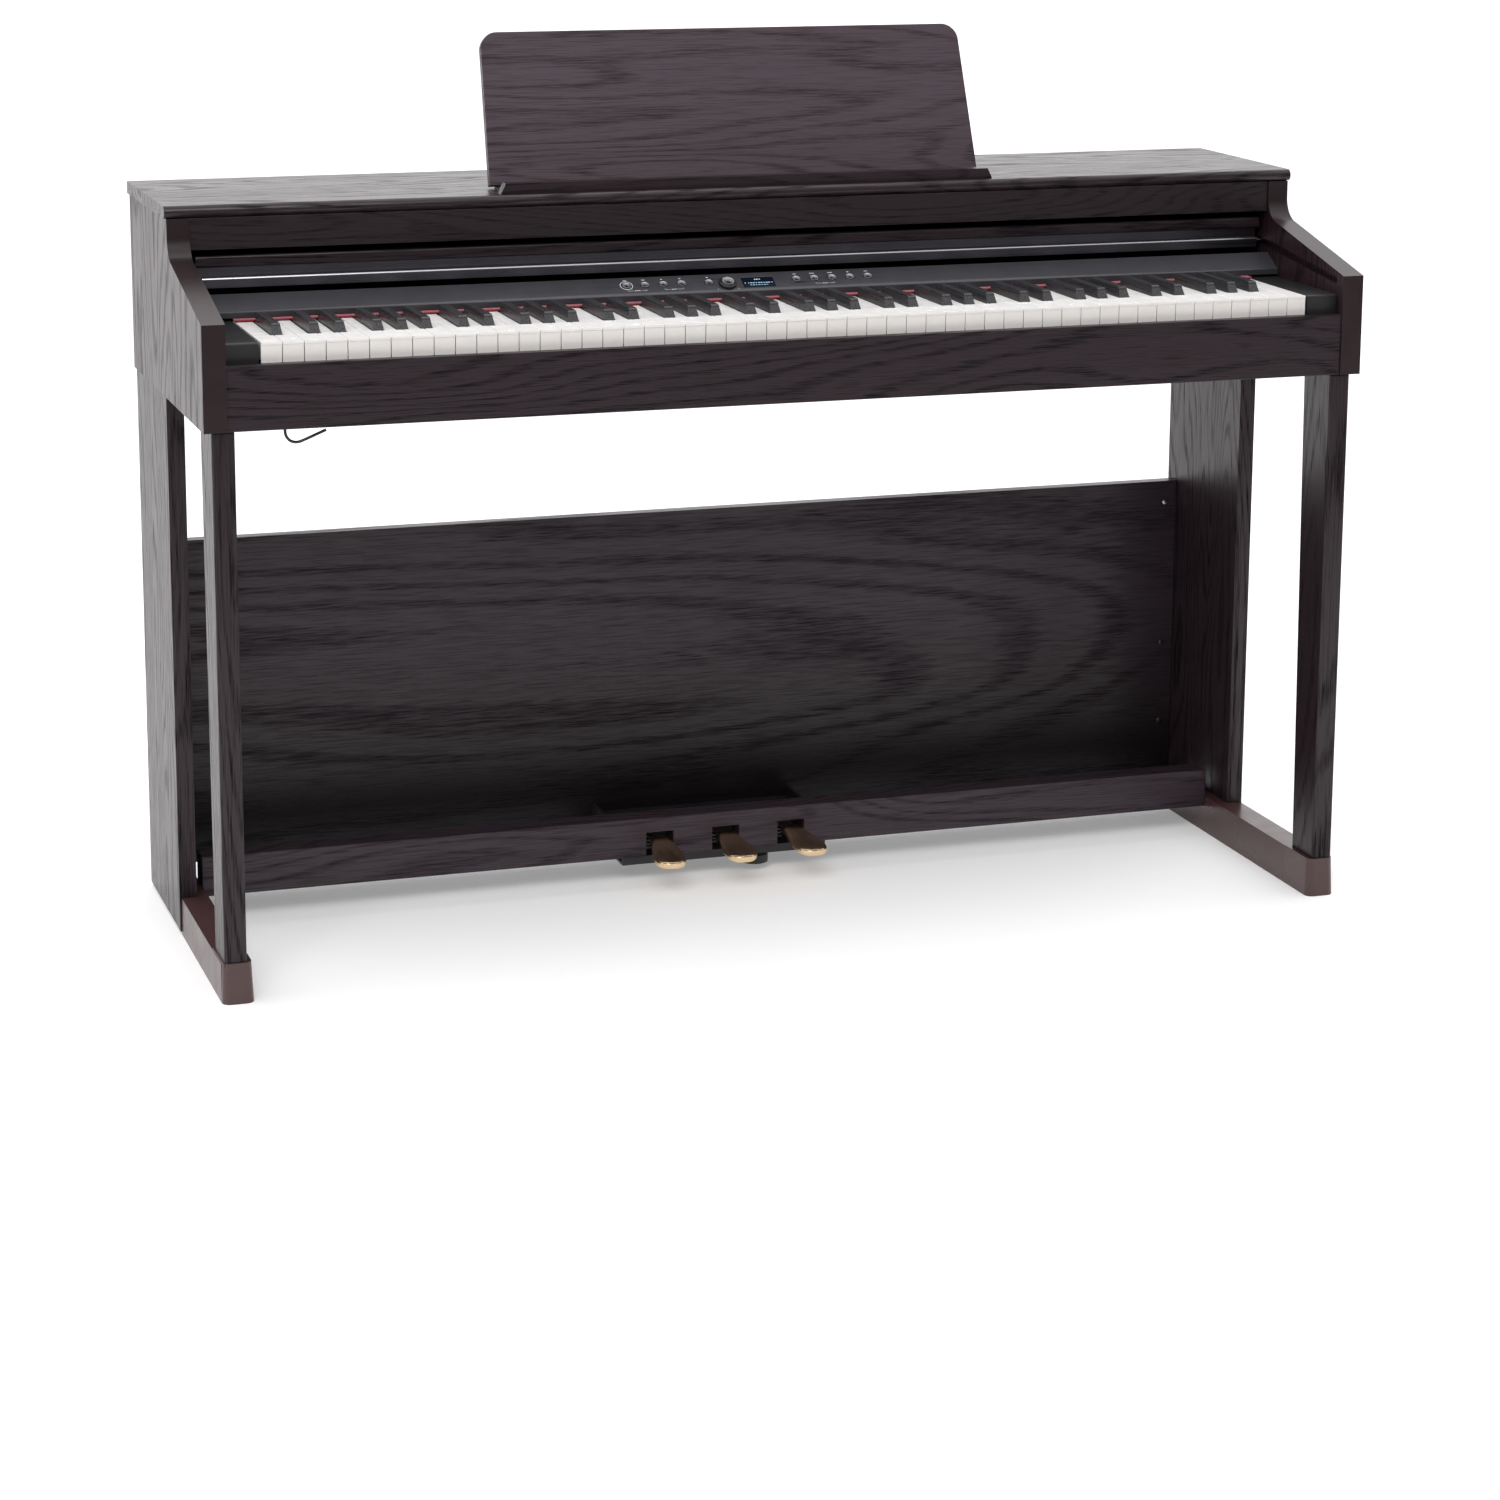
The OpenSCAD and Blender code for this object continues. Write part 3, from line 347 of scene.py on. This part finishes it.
MAT = {
    "wood_x": wood_mat("rosewood_across", "X"),
    "wood_plain": wood_mat("rosewood_smooth", "X", seed=8.8, dark=(0.012, 0.0075, 0.0095),
                           light=(0.020, 0.0130, 0.0160)),
    "wood_top": wood_mat("rosewood_top", "X", seed=3.1, rough=0.30),
    "wood_slip": wood_mat("rosewood_front", "X", seed=7.7, dark=(0.0042, 0.0028, 0.0040),
                          light=(0.0235, 0.0140, 0.0185)),
    "wood_rest": wood_mat("rosewood_rest", "X", seed=6.4, dark=(0.034, 0.023, 0.030),
                          light=(0.062, 0.043, 0.055), rough=0.38),
    # the rear panel: painted shade darkens it towards its foot
    "wood_rear": wood_mat("rosewood_rear", "X", seed=5.2, lines=120.0, wave=5.0,
                          dark=(0.020, 0.0130, 0.0180), light=(0.031, 0.0205, 0.0275),
                          shade_fade=(0.03, 0.30, (0.004, 0.003, 0.0035))),
    "wood_board": wood_mat("rosewood_low", "X", seed=2.9, dark=(0.020, 0.0135, 0.0185),
                           light=(0.036, 0.0245, 0.033)),
    "wood_z": wood_mat("rosewood_upright", "Z", seed=1.3),
    "wood_dark": wood_mat("rosewood_plain", "Z", seed=4.4, dark=(0.007, 0.004, 0.005),
                          light=(0.020, 0.012, 0.014)),
    "mdf": wood_mat("case_lining", "X", seed=9.0, dark=(0.006, 0.005, 0.005), light=(0.014, 0.011, 0.011),
                    rough=0.55),
    "arm": arm_mat(),
    "charcoal": plastic_mat("panel_charcoal", (0.036, 0.036, 0.043), 0.34, 700.0, 0.10),
    "black": plastic_mat("satin_black", (0.012, 0.012, 0.013), 0.38, 800.0, 0.08),
    "grip": grip_mat(),
    "frame": plastic_mat("frame_grey", (0.05, 0.05, 0.052), 0.6, 500.0, 0.2),
    "steel": metal_mat("steel_drawn", (0.55, 0.56, 0.58), 0.32, (2.0, 260.0, 260.0)),
    "rail": plastic_mat("rail_brown", (0.060, 0.028, 0.028), 0.30, 600.0, 0.10),
    "bracket": plastic_mat("bracket_paint", (0.010, 0.010, 0.011), 0.45, 700.0, 0.15),
    "brass": metal_mat("polished_brass", (0.86, 0.64, 0.40), 0.20, (60.0, 3.0, 60.0), 0.03),
    "white_key": key_white_mat(),
    "black_key": key_black_mat(),
    "felt": felt_mat(),
    "desk_edge": wood_mat("rosewood_edge", "X", seed=8.1, dark=(0.012, 0.007, 0.009),
                          light=(0.022, 0.0135, 0.016)),
    "circuit": board_mat(),
    "spun": spun_mat("spun_metal", (0.34, 0.345, 0.36)),
    "mark": plastic_mat("panel_marks", (0.62, 0.66, 0.70), 0.5, 500.0, 0.02, 0.05),
    "socket": plastic_mat("socket_black", (0.008, 0.008, 0.009), 0.5, 500.0, 0.1),
    "black_steel": plastic_mat("hook_black", (0.012, 0.012, 0.013), 0.28, 900.0, 0.05),
    "cloth": cloth_mat(),
}

NODE_MAT = {
    "top_board": "wood_top", "left_arm": "arm", "right_arm": "arm", "fascia": "wood_plain",
    "key_slip": "wood_slip", "key_bed": "mdf", "back_board": "mdf", "control_panel": "charcoal",
    "display": "black", "felt_strip": "felt", "end_blocks": "black", "key_frame": "frame",
    "main_board": "circuit", "speakers": "black", "jack_plate": "socket", "headphone_hook": "steel",
    "cover_rails": "steel", "desk_ledge": "desk_edge", "left_side_panel": "wood_z",
    "right_side_panel": "wood_z", "front_legs": "wood_dark", "foot_rails": "rail",
    "rear_panel": "wood_rear", "pedal_board": "wood_board", "pedal_bracket": "bracket",
    "pedal_springs": "steel", "screws": "steel", "cover_carriage": "steel", "cover_panel": "wood_x",
    "cover_bar": "wood_x", "cover_grip": "grip", "cover_shaft": "steel", "desk_panel": "wood_rest",
    "dial": "black", "adjuster": "black", "power_button": "spun", "soft_pedal": "brass",
    "sostenuto_pedal": "brass", "damper_pedal": "brass",
}
for n, o in NODES.items():
    kind = NODE_MAT.get(n)
    if n.startswith("keys_"):
        kind = "black_key" if n.endswith("sharp") else "white_key"
    if n.startswith("button_"):
        kind = "spun"
    o.data.materials.clear()
    o.data.materials.append(MAT[kind])

# ---------------------------------------------------------------- softened edges on the CAD pieces

BEVEL = {
    "left_arm": (0.0030, 4), "right_arm": (0.0030, 4), "key_slip": (0.0008, 2), "fascia": (0.0008, 2),
    "desk_panel": (0.0012, 2), "desk_ledge": (0.0012, 2), "left_side_panel": (0.0012, 2),
    "right_side_panel": (0.0012, 2), "front_legs": (0.0025, 3), "rear_panel": (0.001, 2),
    "pedal_board": (0.0015, 2), "control_panel": (0.0007, 2), "end_blocks": (0.002, 3),
    "top_board": (0.001, 2), "cover_panel": (0.001, 2), "cover_grip": (0.0012, 3), "cover_bar": (0.001, 2),
    "foot_rails": (0.0012, 2), "felt_strip": (0.0004, 2), "adjuster": (0.001, 2),
}
for n, o in NODES.items():
    size, steps = BEVEL.get(n, (0, 0))
    if n.startswith("keys_"):
        size, steps = (0.0012, 3) if n.endswith("sharp") else (0.0006, 2)
    weld = o.modifiers.new("weld", "WELD")
    weld.merge_threshold = 1e-5
    if size:
        bevel = o.modifiers.new("bevel", "BEVEL")
        bevel.width = size
        bevel.segments = steps
        bevel.limit_method = "ANGLE"
        bevel.angle_limit = math.radians(35)
        bevel.harden_normals = False

# ---------------------------------------------------------------- detailed pieces


def piece(name, verts, faces, body, mat, smooth=True, place=None, replaces=(), slot=None):
    """A mesh piece that rides on a body. place, if given, is its own axes in the row frame."""
    mesh = bpy.data.meshes.new(name)
    mesh.from_pydata([tuple(v) for v in verts], [], faces)
    bm = bmesh.new()
    bm.from_mesh(mesh)
    bmesh.ops.remove_doubles(bm, verts=bm.verts, dist=1e-7)
    bmesh.ops.recalc_face_normals(bm, faces=bm.faces)
    bm.to_mesh(mesh)
    bm.free()
    o = bpy.data.objects.new(name, mesh)
    bpy.context.scene.collection.objects.link(o)
    if place is not None:
        o.matrix_world = place
    mesh.materials.append(mat)
    for poly in mesh.polygons:
        poly.use_smooth = smooth
    if smooth:
        mesh.set_sharp_from_angle(angle=math.radians(38))
    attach(o, body)
    if replaces:
        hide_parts(*replaces)
    return o


def around(rows, n, start=0):
    """Faces between successive rows of n points, each row closed on itself."""
    faces = []
    for k in range(rows - 1):
        for i in range(n):
            j = (i + 1) % n
            a, b = start + k * n, start + (k + 1) * n
            faces.append((a + i, a + j, b + j, b + i))
    return faces


def ends(rows, n, start=0):
    """The two end faces of such rows."""
    last = start + (rows - 1) * n
    return [tuple(start + i for i in range(n)), tuple(last + i for i in range(n - 1, -1, -1))]


def lathe(profile, n=64, ribs=0, depth=0.0, rib_rows=(), hoop=False):
    """(verts, faces) of a profile of (radius, height) turned round Z.

    Ribs wave the radius of some rows. A hoop joins its last row to its first, and has no end faces.
    """
    verts = []
    for row, (rad, z) in enumerate(profile):
        for i in range(n):
            a = math.tau * i / n
            q = rad - (depth * (0.5 + 0.5 * math.cos(ribs * a)) if row in rib_rows else 0.0)
            verts.append((q * math.cos(a), q * math.sin(a), z))
    faces = around(len(profile), n)
    last = (len(profile) - 1) * n
    if hoop:
        faces += [(last + i, last + (i + 1) % n, (i + 1) % n, i) for i in range(n)]
        return verts, faces
    if profile[0][0] > 1e-6:
        faces.append(tuple(range(n - 1, -1, -1)))
    if profile[-1][0] > 1e-6:
        faces.append(tuple(last + i for i in range(n)))
    return verts, faces


def smooth_path(points, steps=8):
    """Catmull-Rom points through a list of points."""
    pts = [Vector(p) for p in points]
    pts = [2 * pts[0] - pts[1]] + pts + [2 * pts[-1] - pts[-2]]
    out = []
    for a, b, c, d in zip(pts, pts[1:], pts[2:], pts[3:]):
        for k in range(steps):
            t = k / steps
            square, cube = 2 * a - 5 * b + 4 * c - d, 3 * b - a - 3 * c + d
            out.append(0.5 * (2 * b + (c - a) * t + square * t * t + cube * t ** 3))
    return out + [pts[-2]]


def tube(points, radius, n=16):
    """(verts, faces) of a round wire through the points, all in a plane of constant Y."""
    verts = []
    for k, p in enumerate(points):
        ahead = (points[min(k + 1, len(points) - 1)] - points[max(k - 1, 0)]).normalized()
        side = Vector((0, 1, 0))
        up = side.cross(ahead)
        for i in range(n):
            a = math.tau * i / n
            verts.append(p + radius * (math.cos(a) * side + math.sin(a) * up))
    return verts, around(len(points), n) + ends(len(points), n)


def slab(lo, hi, verts=None, faces=None):
    """Adds a block between two corners to a list of corners and faces."""
    verts = [] if verts is None else verts
    faces = [] if faces is None else faces
    k = len(verts)
    for z in (lo[2], hi[2]):
        for x, y in ((lo[0], lo[1]), (hi[0], lo[1]), (hi[0], hi[1]), (lo[0], hi[1])):
            verts.append((x, y, z))
    for f in ((0, 3, 2, 1), (4, 5, 6, 7), (0, 1, 5, 4), (1, 2, 6, 5), (2, 3, 7, 6), (3, 0, 4, 7)):
        faces.append(tuple(k + i for i in f))
    return verts, faces


PANEL_Y, PANEL_Z, TILT = -0.0625, 0.7385, math.radians(30)


def on_panel(x, u, v=0.0):
    """Axes on the control panel: X across, Y up the slope, Z out of it."""
    y = PANEL_Y + u * math.cos(TILT) - v * math.sin(TILT)
    z = PANEL_Z + u * math.sin(TILT) + v * math.cos(TILT)
    return Matrix.Translation((x, y, z)) @ Matrix.Rotation(TILT, 4, "X")


CONTROL_U = 0.0185
BUTTONS = {"power_button": -0.159}
for i, x in enumerate((-0.137, -0.115, -0.093, -0.060, 0.046, 0.068, 0.090, 0.112, 0.134)):
    BUTTONS["button_%d" % (i + 1)] = x
button_shape = lathe([
    (0.0, 0.00075), (0.0030, 0.00085), (0.0040, 0.0011), (0.0044, 0.00120), (0.0048, 0.00112),
    (0.0050, 0.0008), (0.0050, -0.005), (0.0060, -0.005), (0.0060, -0.0062), (0.0, -0.0062)])
for n, x in BUTTONS.items():
    piece(n + "_cap", *button_shape, n, MAT["spun"], place=on_panel(x, CONTROL_U), replaces=(n,),
          slot="steel")

# the dial: a ribbed black skirt, with a turned metal cap set into it
dial_place = on_panel(-0.039, 0.014)
skirt = lathe([
    (0.0, -0.009), (0.0031, -0.009), (0.0031, 0.0004), (0.0098, 0.0004), (0.0104, 0.0008), (0.0103, 0.0026),
    (0.0097, 0.0034), (0.0086, 0.0036), (0.0080, 0.0040), (0.0076, 0.0052), (0.0072, 0.0052), (0.0, 0.0050),
], 180, ribs=45, depth=0.00035, rib_rows=(4, 5))
piece("dial_skirt", *skirt, "dial", MAT["black"], place=dial_place, replaces=("dial",), slot="black_plastic")
cap = lathe([
    (0.0, 0.0054), (0.0052, 0.0055), (0.0064, 0.0058), (0.0071, 0.0057), (0.0073, 0.0053),
    (0.0073, 0.0046), (0.0, 0.0046)], 96)
piece("dial_cap", *cap, "dial", MAT["spun"], place=dial_place, slot="steel")

# the ring round the power button, and the small marks beside the controls
ring = lathe([(0.0069, 0.0), (0.0069, 0.00016), (0.0076, 0.00016), (0.0076, 0.0)], 96, hoop=True)
piece("power_ring", *ring, "case", MAT["mark"], place=on_panel(BUTTONS["power_button"], CONTROL_U))


def bars(items, low, high):
    """(verts, faces) of thin bars on the control panel, from (x, u, width, height) in millimetres."""
    verts, faces = [], []
    for x, u, w, h in items:
        corner = ((x - w / 2) / 1000, (u - h / 2) / 1000, low)
        slab(corner, ((x + w / 2) / 1000, (u + h / 2) / 1000, high), verts, faces)
    return verts, faces


PRINT_T = 0.00012
strokes = []
for n, x in BUTTONS.items():
    cx = x * 1000
    pattern = ((-1.2, 1.5), (0.9, 1.8))
    if n in ("button_6", "button_7"):
        pattern = ((-2.3, 1.6), (-0.4, 1.3), (1.5, 1.7))
    if n in ("button_2", "button_3", "button_4", "button_8"):
        pattern = ((-0.2, 2.4),)
    strokes += [(cx + dx, 27.6, w, 1.2) for dx, w in pattern]
for a, b in ((-159, -137), (-115, -93), (68, 90)):
    mid = (a + b) / 2
    strokes += [(a, 9.4, 0.35, 2.0), (b, 9.4, 0.35, 2.0)]
    strokes += [((a + mid - 4.5) / 2, 8.5, mid - 4.5 - a, 0.35)]
    strokes += [((b + mid + 4.5) / 2, 8.5, b - mid - 4.5, 0.35)]
    strokes += [(mid - 2.4, 8.6, 1.8, 1.1), (mid - 0.2, 8.6, 1.6, 1.1), (mid + 2.1, 8.6, 1.9, 1.1)]
strokes += [(-52, 5.4, 1.2, 0.8), (-27.5, 5.4, 1.2, 0.8)]
piece("panel_marks", *bars(strokes, 0, PRINT_T), "case", MAT["mark"], smooth=False, place=on_panel(0, 0))

# the display: a dark pane in a thin bezel, with generic lines of light
pane_mat = Shade("display_pane", 0.10, color=(0.006, 0.008, 0.016))
pane_tone = pane_mat.noise(pane_mat.coord(), 90.0, 2.0)
pane_mat.base(pane_mat.ramp(pane_tone, [(0.3, (0.005, 0.007, 0.014)), (0.7, (0.008, 0.011, 0.022))]))
pane_mat.rough(pane_mat.span(pane_mat.noise(pane_mat.coord(), 400.0, 2.0), 0.3, 0.7, 0.07, 0.13))
glow_mat = Shade("display_glow", 0.5, color=(0.30, 0.50, 0.62))
glow_tone = glow_mat.noise(glow_mat.coord(), 2500.0, 2.0)
glow_mat.base(glow_mat.ramp(glow_tone, [(0.3, (0.24, 0.44, 0.58)), (0.7, (0.36, 0.56, 0.66))]))
glow_mat.set("Emission Color", (0.30, 0.55, 0.70, 1))
glow_mat.set("Emission Strength", 0.35)
PANE_FACE = 0.00005
pane = slab((-0.0202, 0.0073, -0.0003), (0.0182, 0.0246, PANE_FACE))
piece("display_pane", *pane, "case", pane_mat.mat, smooth=False, place=on_panel(0, 0), slot="display")
lines = [(-4.2, 20.6, 2.0, 1.7), (-1.4, 20.6, 2.4, 1.7), (1.4, 20.6, 1.6, 1.7)]
lines += [(-13 + 3.1 * i, 14.4, 2.4 if i % 3 else 1.4, 1.5) for i in range(9)]
lines += [(-17.2, 14.4, 1.0, 2.0), (15.4, 14.4, 1.0, 2.0)]
lines += [(-11 + 3.3 * i, 10.6, 2.6 if i % 2 else 1.7, 1.0) for i in range(7)]
piece("display_lines", *bars(lines, PANE_FACE, PRINT_T), "case", glow_mat.mat, smooth=False,
      place=on_panel(0, 0))

# the headphone hook: a bent black wire
HOOK_Y = -0.2165
wire = smooth_path([(x, HOOK_Y, z) for x, z in (
    (-0.590, 0.6395), (-0.590, 0.631), (-0.5885, 0.6255), (-0.584, 0.6207), (-0.577, 0.6192),
    (-0.569, 0.6215), (-0.5455, 0.6310))])
piece("hook_wire", *tube(wire, 0.0016), "case", MAT["black_steel"], replaces=("headphone_hook",),
      slot="steel")


PEDAL_STEP, PEDAL_FRONT, PEDAL_ROD_Y, PEDAL_Z = 0.084, 0.0665, 0.1475, 0.0505


def paddle(name, node, x, turn):
    """A pedal: a rounded paddle ahead of the board, on a lever that turns about the tray's rod."""
    rows, n = 26, 40
    verts = []
    spin = Matrix.Translation((x, PEDAL_FRONT, PEDAL_Z)) @ Matrix.Rotation(math.radians(turn), 4, "Z")
    spin = spin @ Matrix.Rotation(math.radians(7), 4, "X")
    for k in range(rows + 1):
        t = k / rows
        y = 0.006 - 0.086 * math.sin(t * math.pi / 2) ** 0.9
        reach = max(0.0, min(1.0, (-y - 0.002) / 0.052))
        half = 0.0125 + 0.0065 * (reach * reach * (3 - 2 * reach))
        left = (y + 0.080) / 0.019
        if left < 1:
            half = 0.0035 + (half - 0.0035) * math.sqrt(max(0.0, 1 - (1 - left) ** 2))
        thick = 0.0045
        if left < 0.45:
            thick *= 0.55 + 0.45 * math.sqrt(max(0.0, 1 - (1 - left / 0.45) ** 2))
        for i in range(n):
            a = math.tau * i / n
            c, q = math.cos(a), math.sin(a)
            px = half * math.copysign(abs(c) ** 0.42, c)
            pz = thick * math.copysign(abs(q) ** 0.55, q)
            crown = 0.0006 * (1 - (px / 0.0185) ** 2) if q > 0 else 0.0
            verts.append(spin @ Vector((px, y, pz - 0.0001 + crown)))
    faces = around(rows + 1, n) + ends(rows + 1, n)
    o = piece(name, verts, faces, node, MAT["brass"], replaces=(node,), slot="brass")
    o.modifiers.new("round", "SUBSURF").render_levels = 1
    verts, faces = slab((x - 0.006, PEDAL_FRONT, 0.0465), (x + 0.006, PEDAL_ROD_Y, 0.0545))
    hub, hub_faces = lathe([(0.00408, -0.009), (0.0072, -0.009), (0.008, -0.0082), (0.008, 0.0082),
                            (0.0072, 0.009), (0.00408, 0.009)], 48, hoop=True)
    k = len(verts)
    verts += [(x + q[2], PEDAL_ROD_Y + q[0], PEDAL_Z + q[1]) for q in hub]
    faces += [tuple(k + i for i in f) for f in hub_faces]
    lever = piece(name + "_lever", verts, faces, node, MAT["steel"], slot="brass")
    bevel = lever.modifiers.new("bevel", "BEVEL")
    bevel.width, bevel.segments, bevel.limit_method = 0.0008, 2, "ANGLE"


paddle("soft_paddle", "soft_pedal", -PEDAL_STEP, -5)
paddle("sostenuto_paddle", "sostenuto_pedal", 0.0, 0)
paddle("damper_paddle", "damper_pedal", PEDAL_STEP, 5)

# coil springs in place of the CAD tubes
COIL_TURNS, COIL_POINTS, COIL_WIRE_R, COIL_R = 3.4, 10, 0.0009, 0.0051
COIL_Y, COIL_FOOT, COIL_RISE = 0.1155, 0.0250, 0.0148
up = Vector((0, 0, 1))
steps = int(COIL_TURNS * 28)
verts, faces = [], []
for x in (-PEDAL_STEP, 0.0, PEDAL_STEP):
    base = len(verts)
    for k in range(steps + 1):
        a = math.tau * COIL_TURNS * k / steps
        out = Vector((math.cos(a), math.sin(a), 0))
        centre = Vector((x, COIL_Y, COIL_FOOT + COIL_RISE * k / steps)) + COIL_R * out
        for i in range(COIL_POINTS):
            b = math.tau * i / COIL_POINTS
            verts.append(centre + COIL_WIRE_R * (math.cos(b) * out + math.sin(b) * up))
    faces += around(steps + 1, COIL_POINTS, base) + ends(steps + 1, COIL_POINTS, base)
piece("pedal_coils", verts, faces, "case", MAT["steel"], replaces=("pedal_springs",), slot="steel")

# screw heads: low domes with a cross recess
dome = lathe([(0.0036, 0.0), (0.0036, 0.0006), (0.0031, 0.0012), (0.0020, 0.00155), (0.0, 0.00162)], 32)
cross = [(-0.0016, -0.0003, 0.0016, 0.0003), (-0.0003, -0.0016, 0.0003, 0.0016)]
bright, dark, slots = ([], []), ([], []), ([], [])
spots = [(side * 0.640, 0.2065, z, "front") for side in (-1, 1) for z in (0.400, 0.21375, 0.109)]
spots += [(side * 0.645, 0.2215, z, "back") for side in (-1, 1) for z in (0.676, 0.810)]
spots += [(x, -0.1735, 0.636, "down") for x in (-0.6, -0.3, 0.0, 0.3, 0.6)]
TURN = {"front": math.pi / 2, "back": -math.pi / 2, "down": math.pi}
for x, y, z, way in spots:
    m = Matrix.Translation((x, y, z)) @ Matrix.Rotation(TURN[way], 4, "X")
    heads = bright if way == "front" and z > 0.39 else dark
    k = len(heads[0])
    heads[0].extend(m @ Vector(q) for q in dome[0])
    heads[1].extend(tuple(k + i for i in f) for f in dome[1])
    for x0, y0, x1, y1 in cross:
        v, f = slab((x0, y0, 0.0012), (x1, y1, 0.00164))
        k = len(slots[0])
        slots[0].extend(m @ Vector(q) for q in v)
        slots[1].extend(tuple(k + i for i in g) for g in f)
piece("screw_heads", *bright, "case", MAT["steel"], replaces=("screws",), slot="steel")
piece("screw_heads_dark", *dark, "case", MAT["black_steel"], slot="steel")
piece("screw_slots", *slots, "case", MAT["socket"], smooth=False)

# collars of the two headphone sockets and the power inlet on the back plate
collar = lathe([(0.0034, 0.0), (0.0034, 0.0012), (0.0048, 0.0014), (0.0056, 0.0008), (0.0056, 0.0)], 48,
               hoop=True)
for tag, x in (("a", -0.236), ("b", -0.218), ("c", -0.198)):
    piece("socket_collar_" + tag, *collar, "case", MAT["steel"],
          place=Matrix.Translation((x, 0.2230, 0.675)) @ Matrix.Rotation(-math.pi / 2, 4, "X"))

# speaker cloth behind the round openings under the keys: a shallow dish with a rim
cloth = lathe([(0.0498, 0.0), (0.0498, 0.0022), (0.0470, 0.0034), (0.0300, 0.0040), (0.0, 0.0042)], 96)
for tag, side in (("left", -1), ("right", 1)):
    piece("speaker_cloth_" + tag, *cloth, "case", MAT["cloth"],
          place=Matrix.Translation((side * 0.430, 0.1385, 0.6365)))

# ---------------------------------------------------------------- light and surroundings

world = bpy.data.worlds.new("studio")
bpy.context.scene.world = world
bpy.context.scene.view_settings.view_transform = "Standard"
world.use_nodes = True
wt = world.node_tree
back = wt.nodes["Background"]
co = wt.nodes.new("ShaderNodeTexCoord")
sep = wt.nodes.new("ShaderNodeSeparateXYZ")
wt.links.new(co.outputs["Generated"], sep.inputs[0])


def world_band(axis, lo, hi, a, b):
    """Strength that runs from a to b as one component of the direction runs from lo to hi."""
    band = wt.nodes.new("ShaderNodeMapRange")
    for key, x in (("From Min", lo), ("From Max", hi), ("To Min", a), ("To Max", b)):
        band.inputs[key].default_value = x
    wt.links.new(sep.outputs[axis], band.inputs["Value"])
    return band.outputs["Result"]


brighter = wt.nodes.new("ShaderNodeMath")
brighter.operation = "MAXIMUM"
wt.links.new(world_band(1, -0.75, -0.1, 0.20, 1.45), brighter.inputs[0])
wt.links.new(world_band(2, 0.15, 0.75, 0.0, 1.25), brighter.inputs[1])
wt.links.new(brighter.outputs[0], back.inputs["Strength"])
back.inputs["Color"].default_value = (1.0, 0.985, 0.99, 1)


def area(name, place, target, size, power):
    """A rectangular area light that faces a target."""
    data = bpy.data.lights.new(name, "AREA")
    data.shape = "RECTANGLE"
    data.size, data.size_y = size
    data.energy = power
    o = bpy.data.objects.new(name, data)
    bpy.context.scene.collection.objects.link(o)
    o.location = place
    o.rotation_euler = (Vector(target) - Vector(place)).to_track_quat("-Z", "Y").to_euler()


area("key_light", (-1.6, -3.2, 3.4), (0, 0, 0.6), (2.4, 1.6), 58)
area("top_light", (0.4, 0.2, 3.6), (0, 0, 0.8), (3.0, 1.6), 14)

# A bright floor that stops a little ahead of the piano, so the upright fronts don't mirror it
floor_mat = Shade("pale_floor", 0.8, color=(0.86, 0.86, 0.86))
floor_tone = floor_mat.noise(floor_mat.coord(), 3.0, 3.0)
floor_mat.base(floor_mat.ramp(floor_tone, [(0.3, (0.84, 0.84, 0.84)), (0.7, (0.86, 0.86, 0.86))]))
floor_mat.set("Emission Color", (1, 1, 1, 1))
floor_mat.set("Emission Strength", 0.22)
bm = bmesh.new()
corners = [bm.verts.new(c) for c in ((-14, -2.4, 0), (14, -2.4, 0), (14, 14, 0), (-14, 14, 0))]
bm.faces.new(corners)
floor_mesh = bpy.data.meshes.new("floor")
bm.to_mesh(floor_mesh)
bm.free()
floor = bpy.data.objects.new("floor", floor_mesh)
floor.data.materials.append(floor_mat.mat)
bpy.context.scene.collection.objects.link(floor)
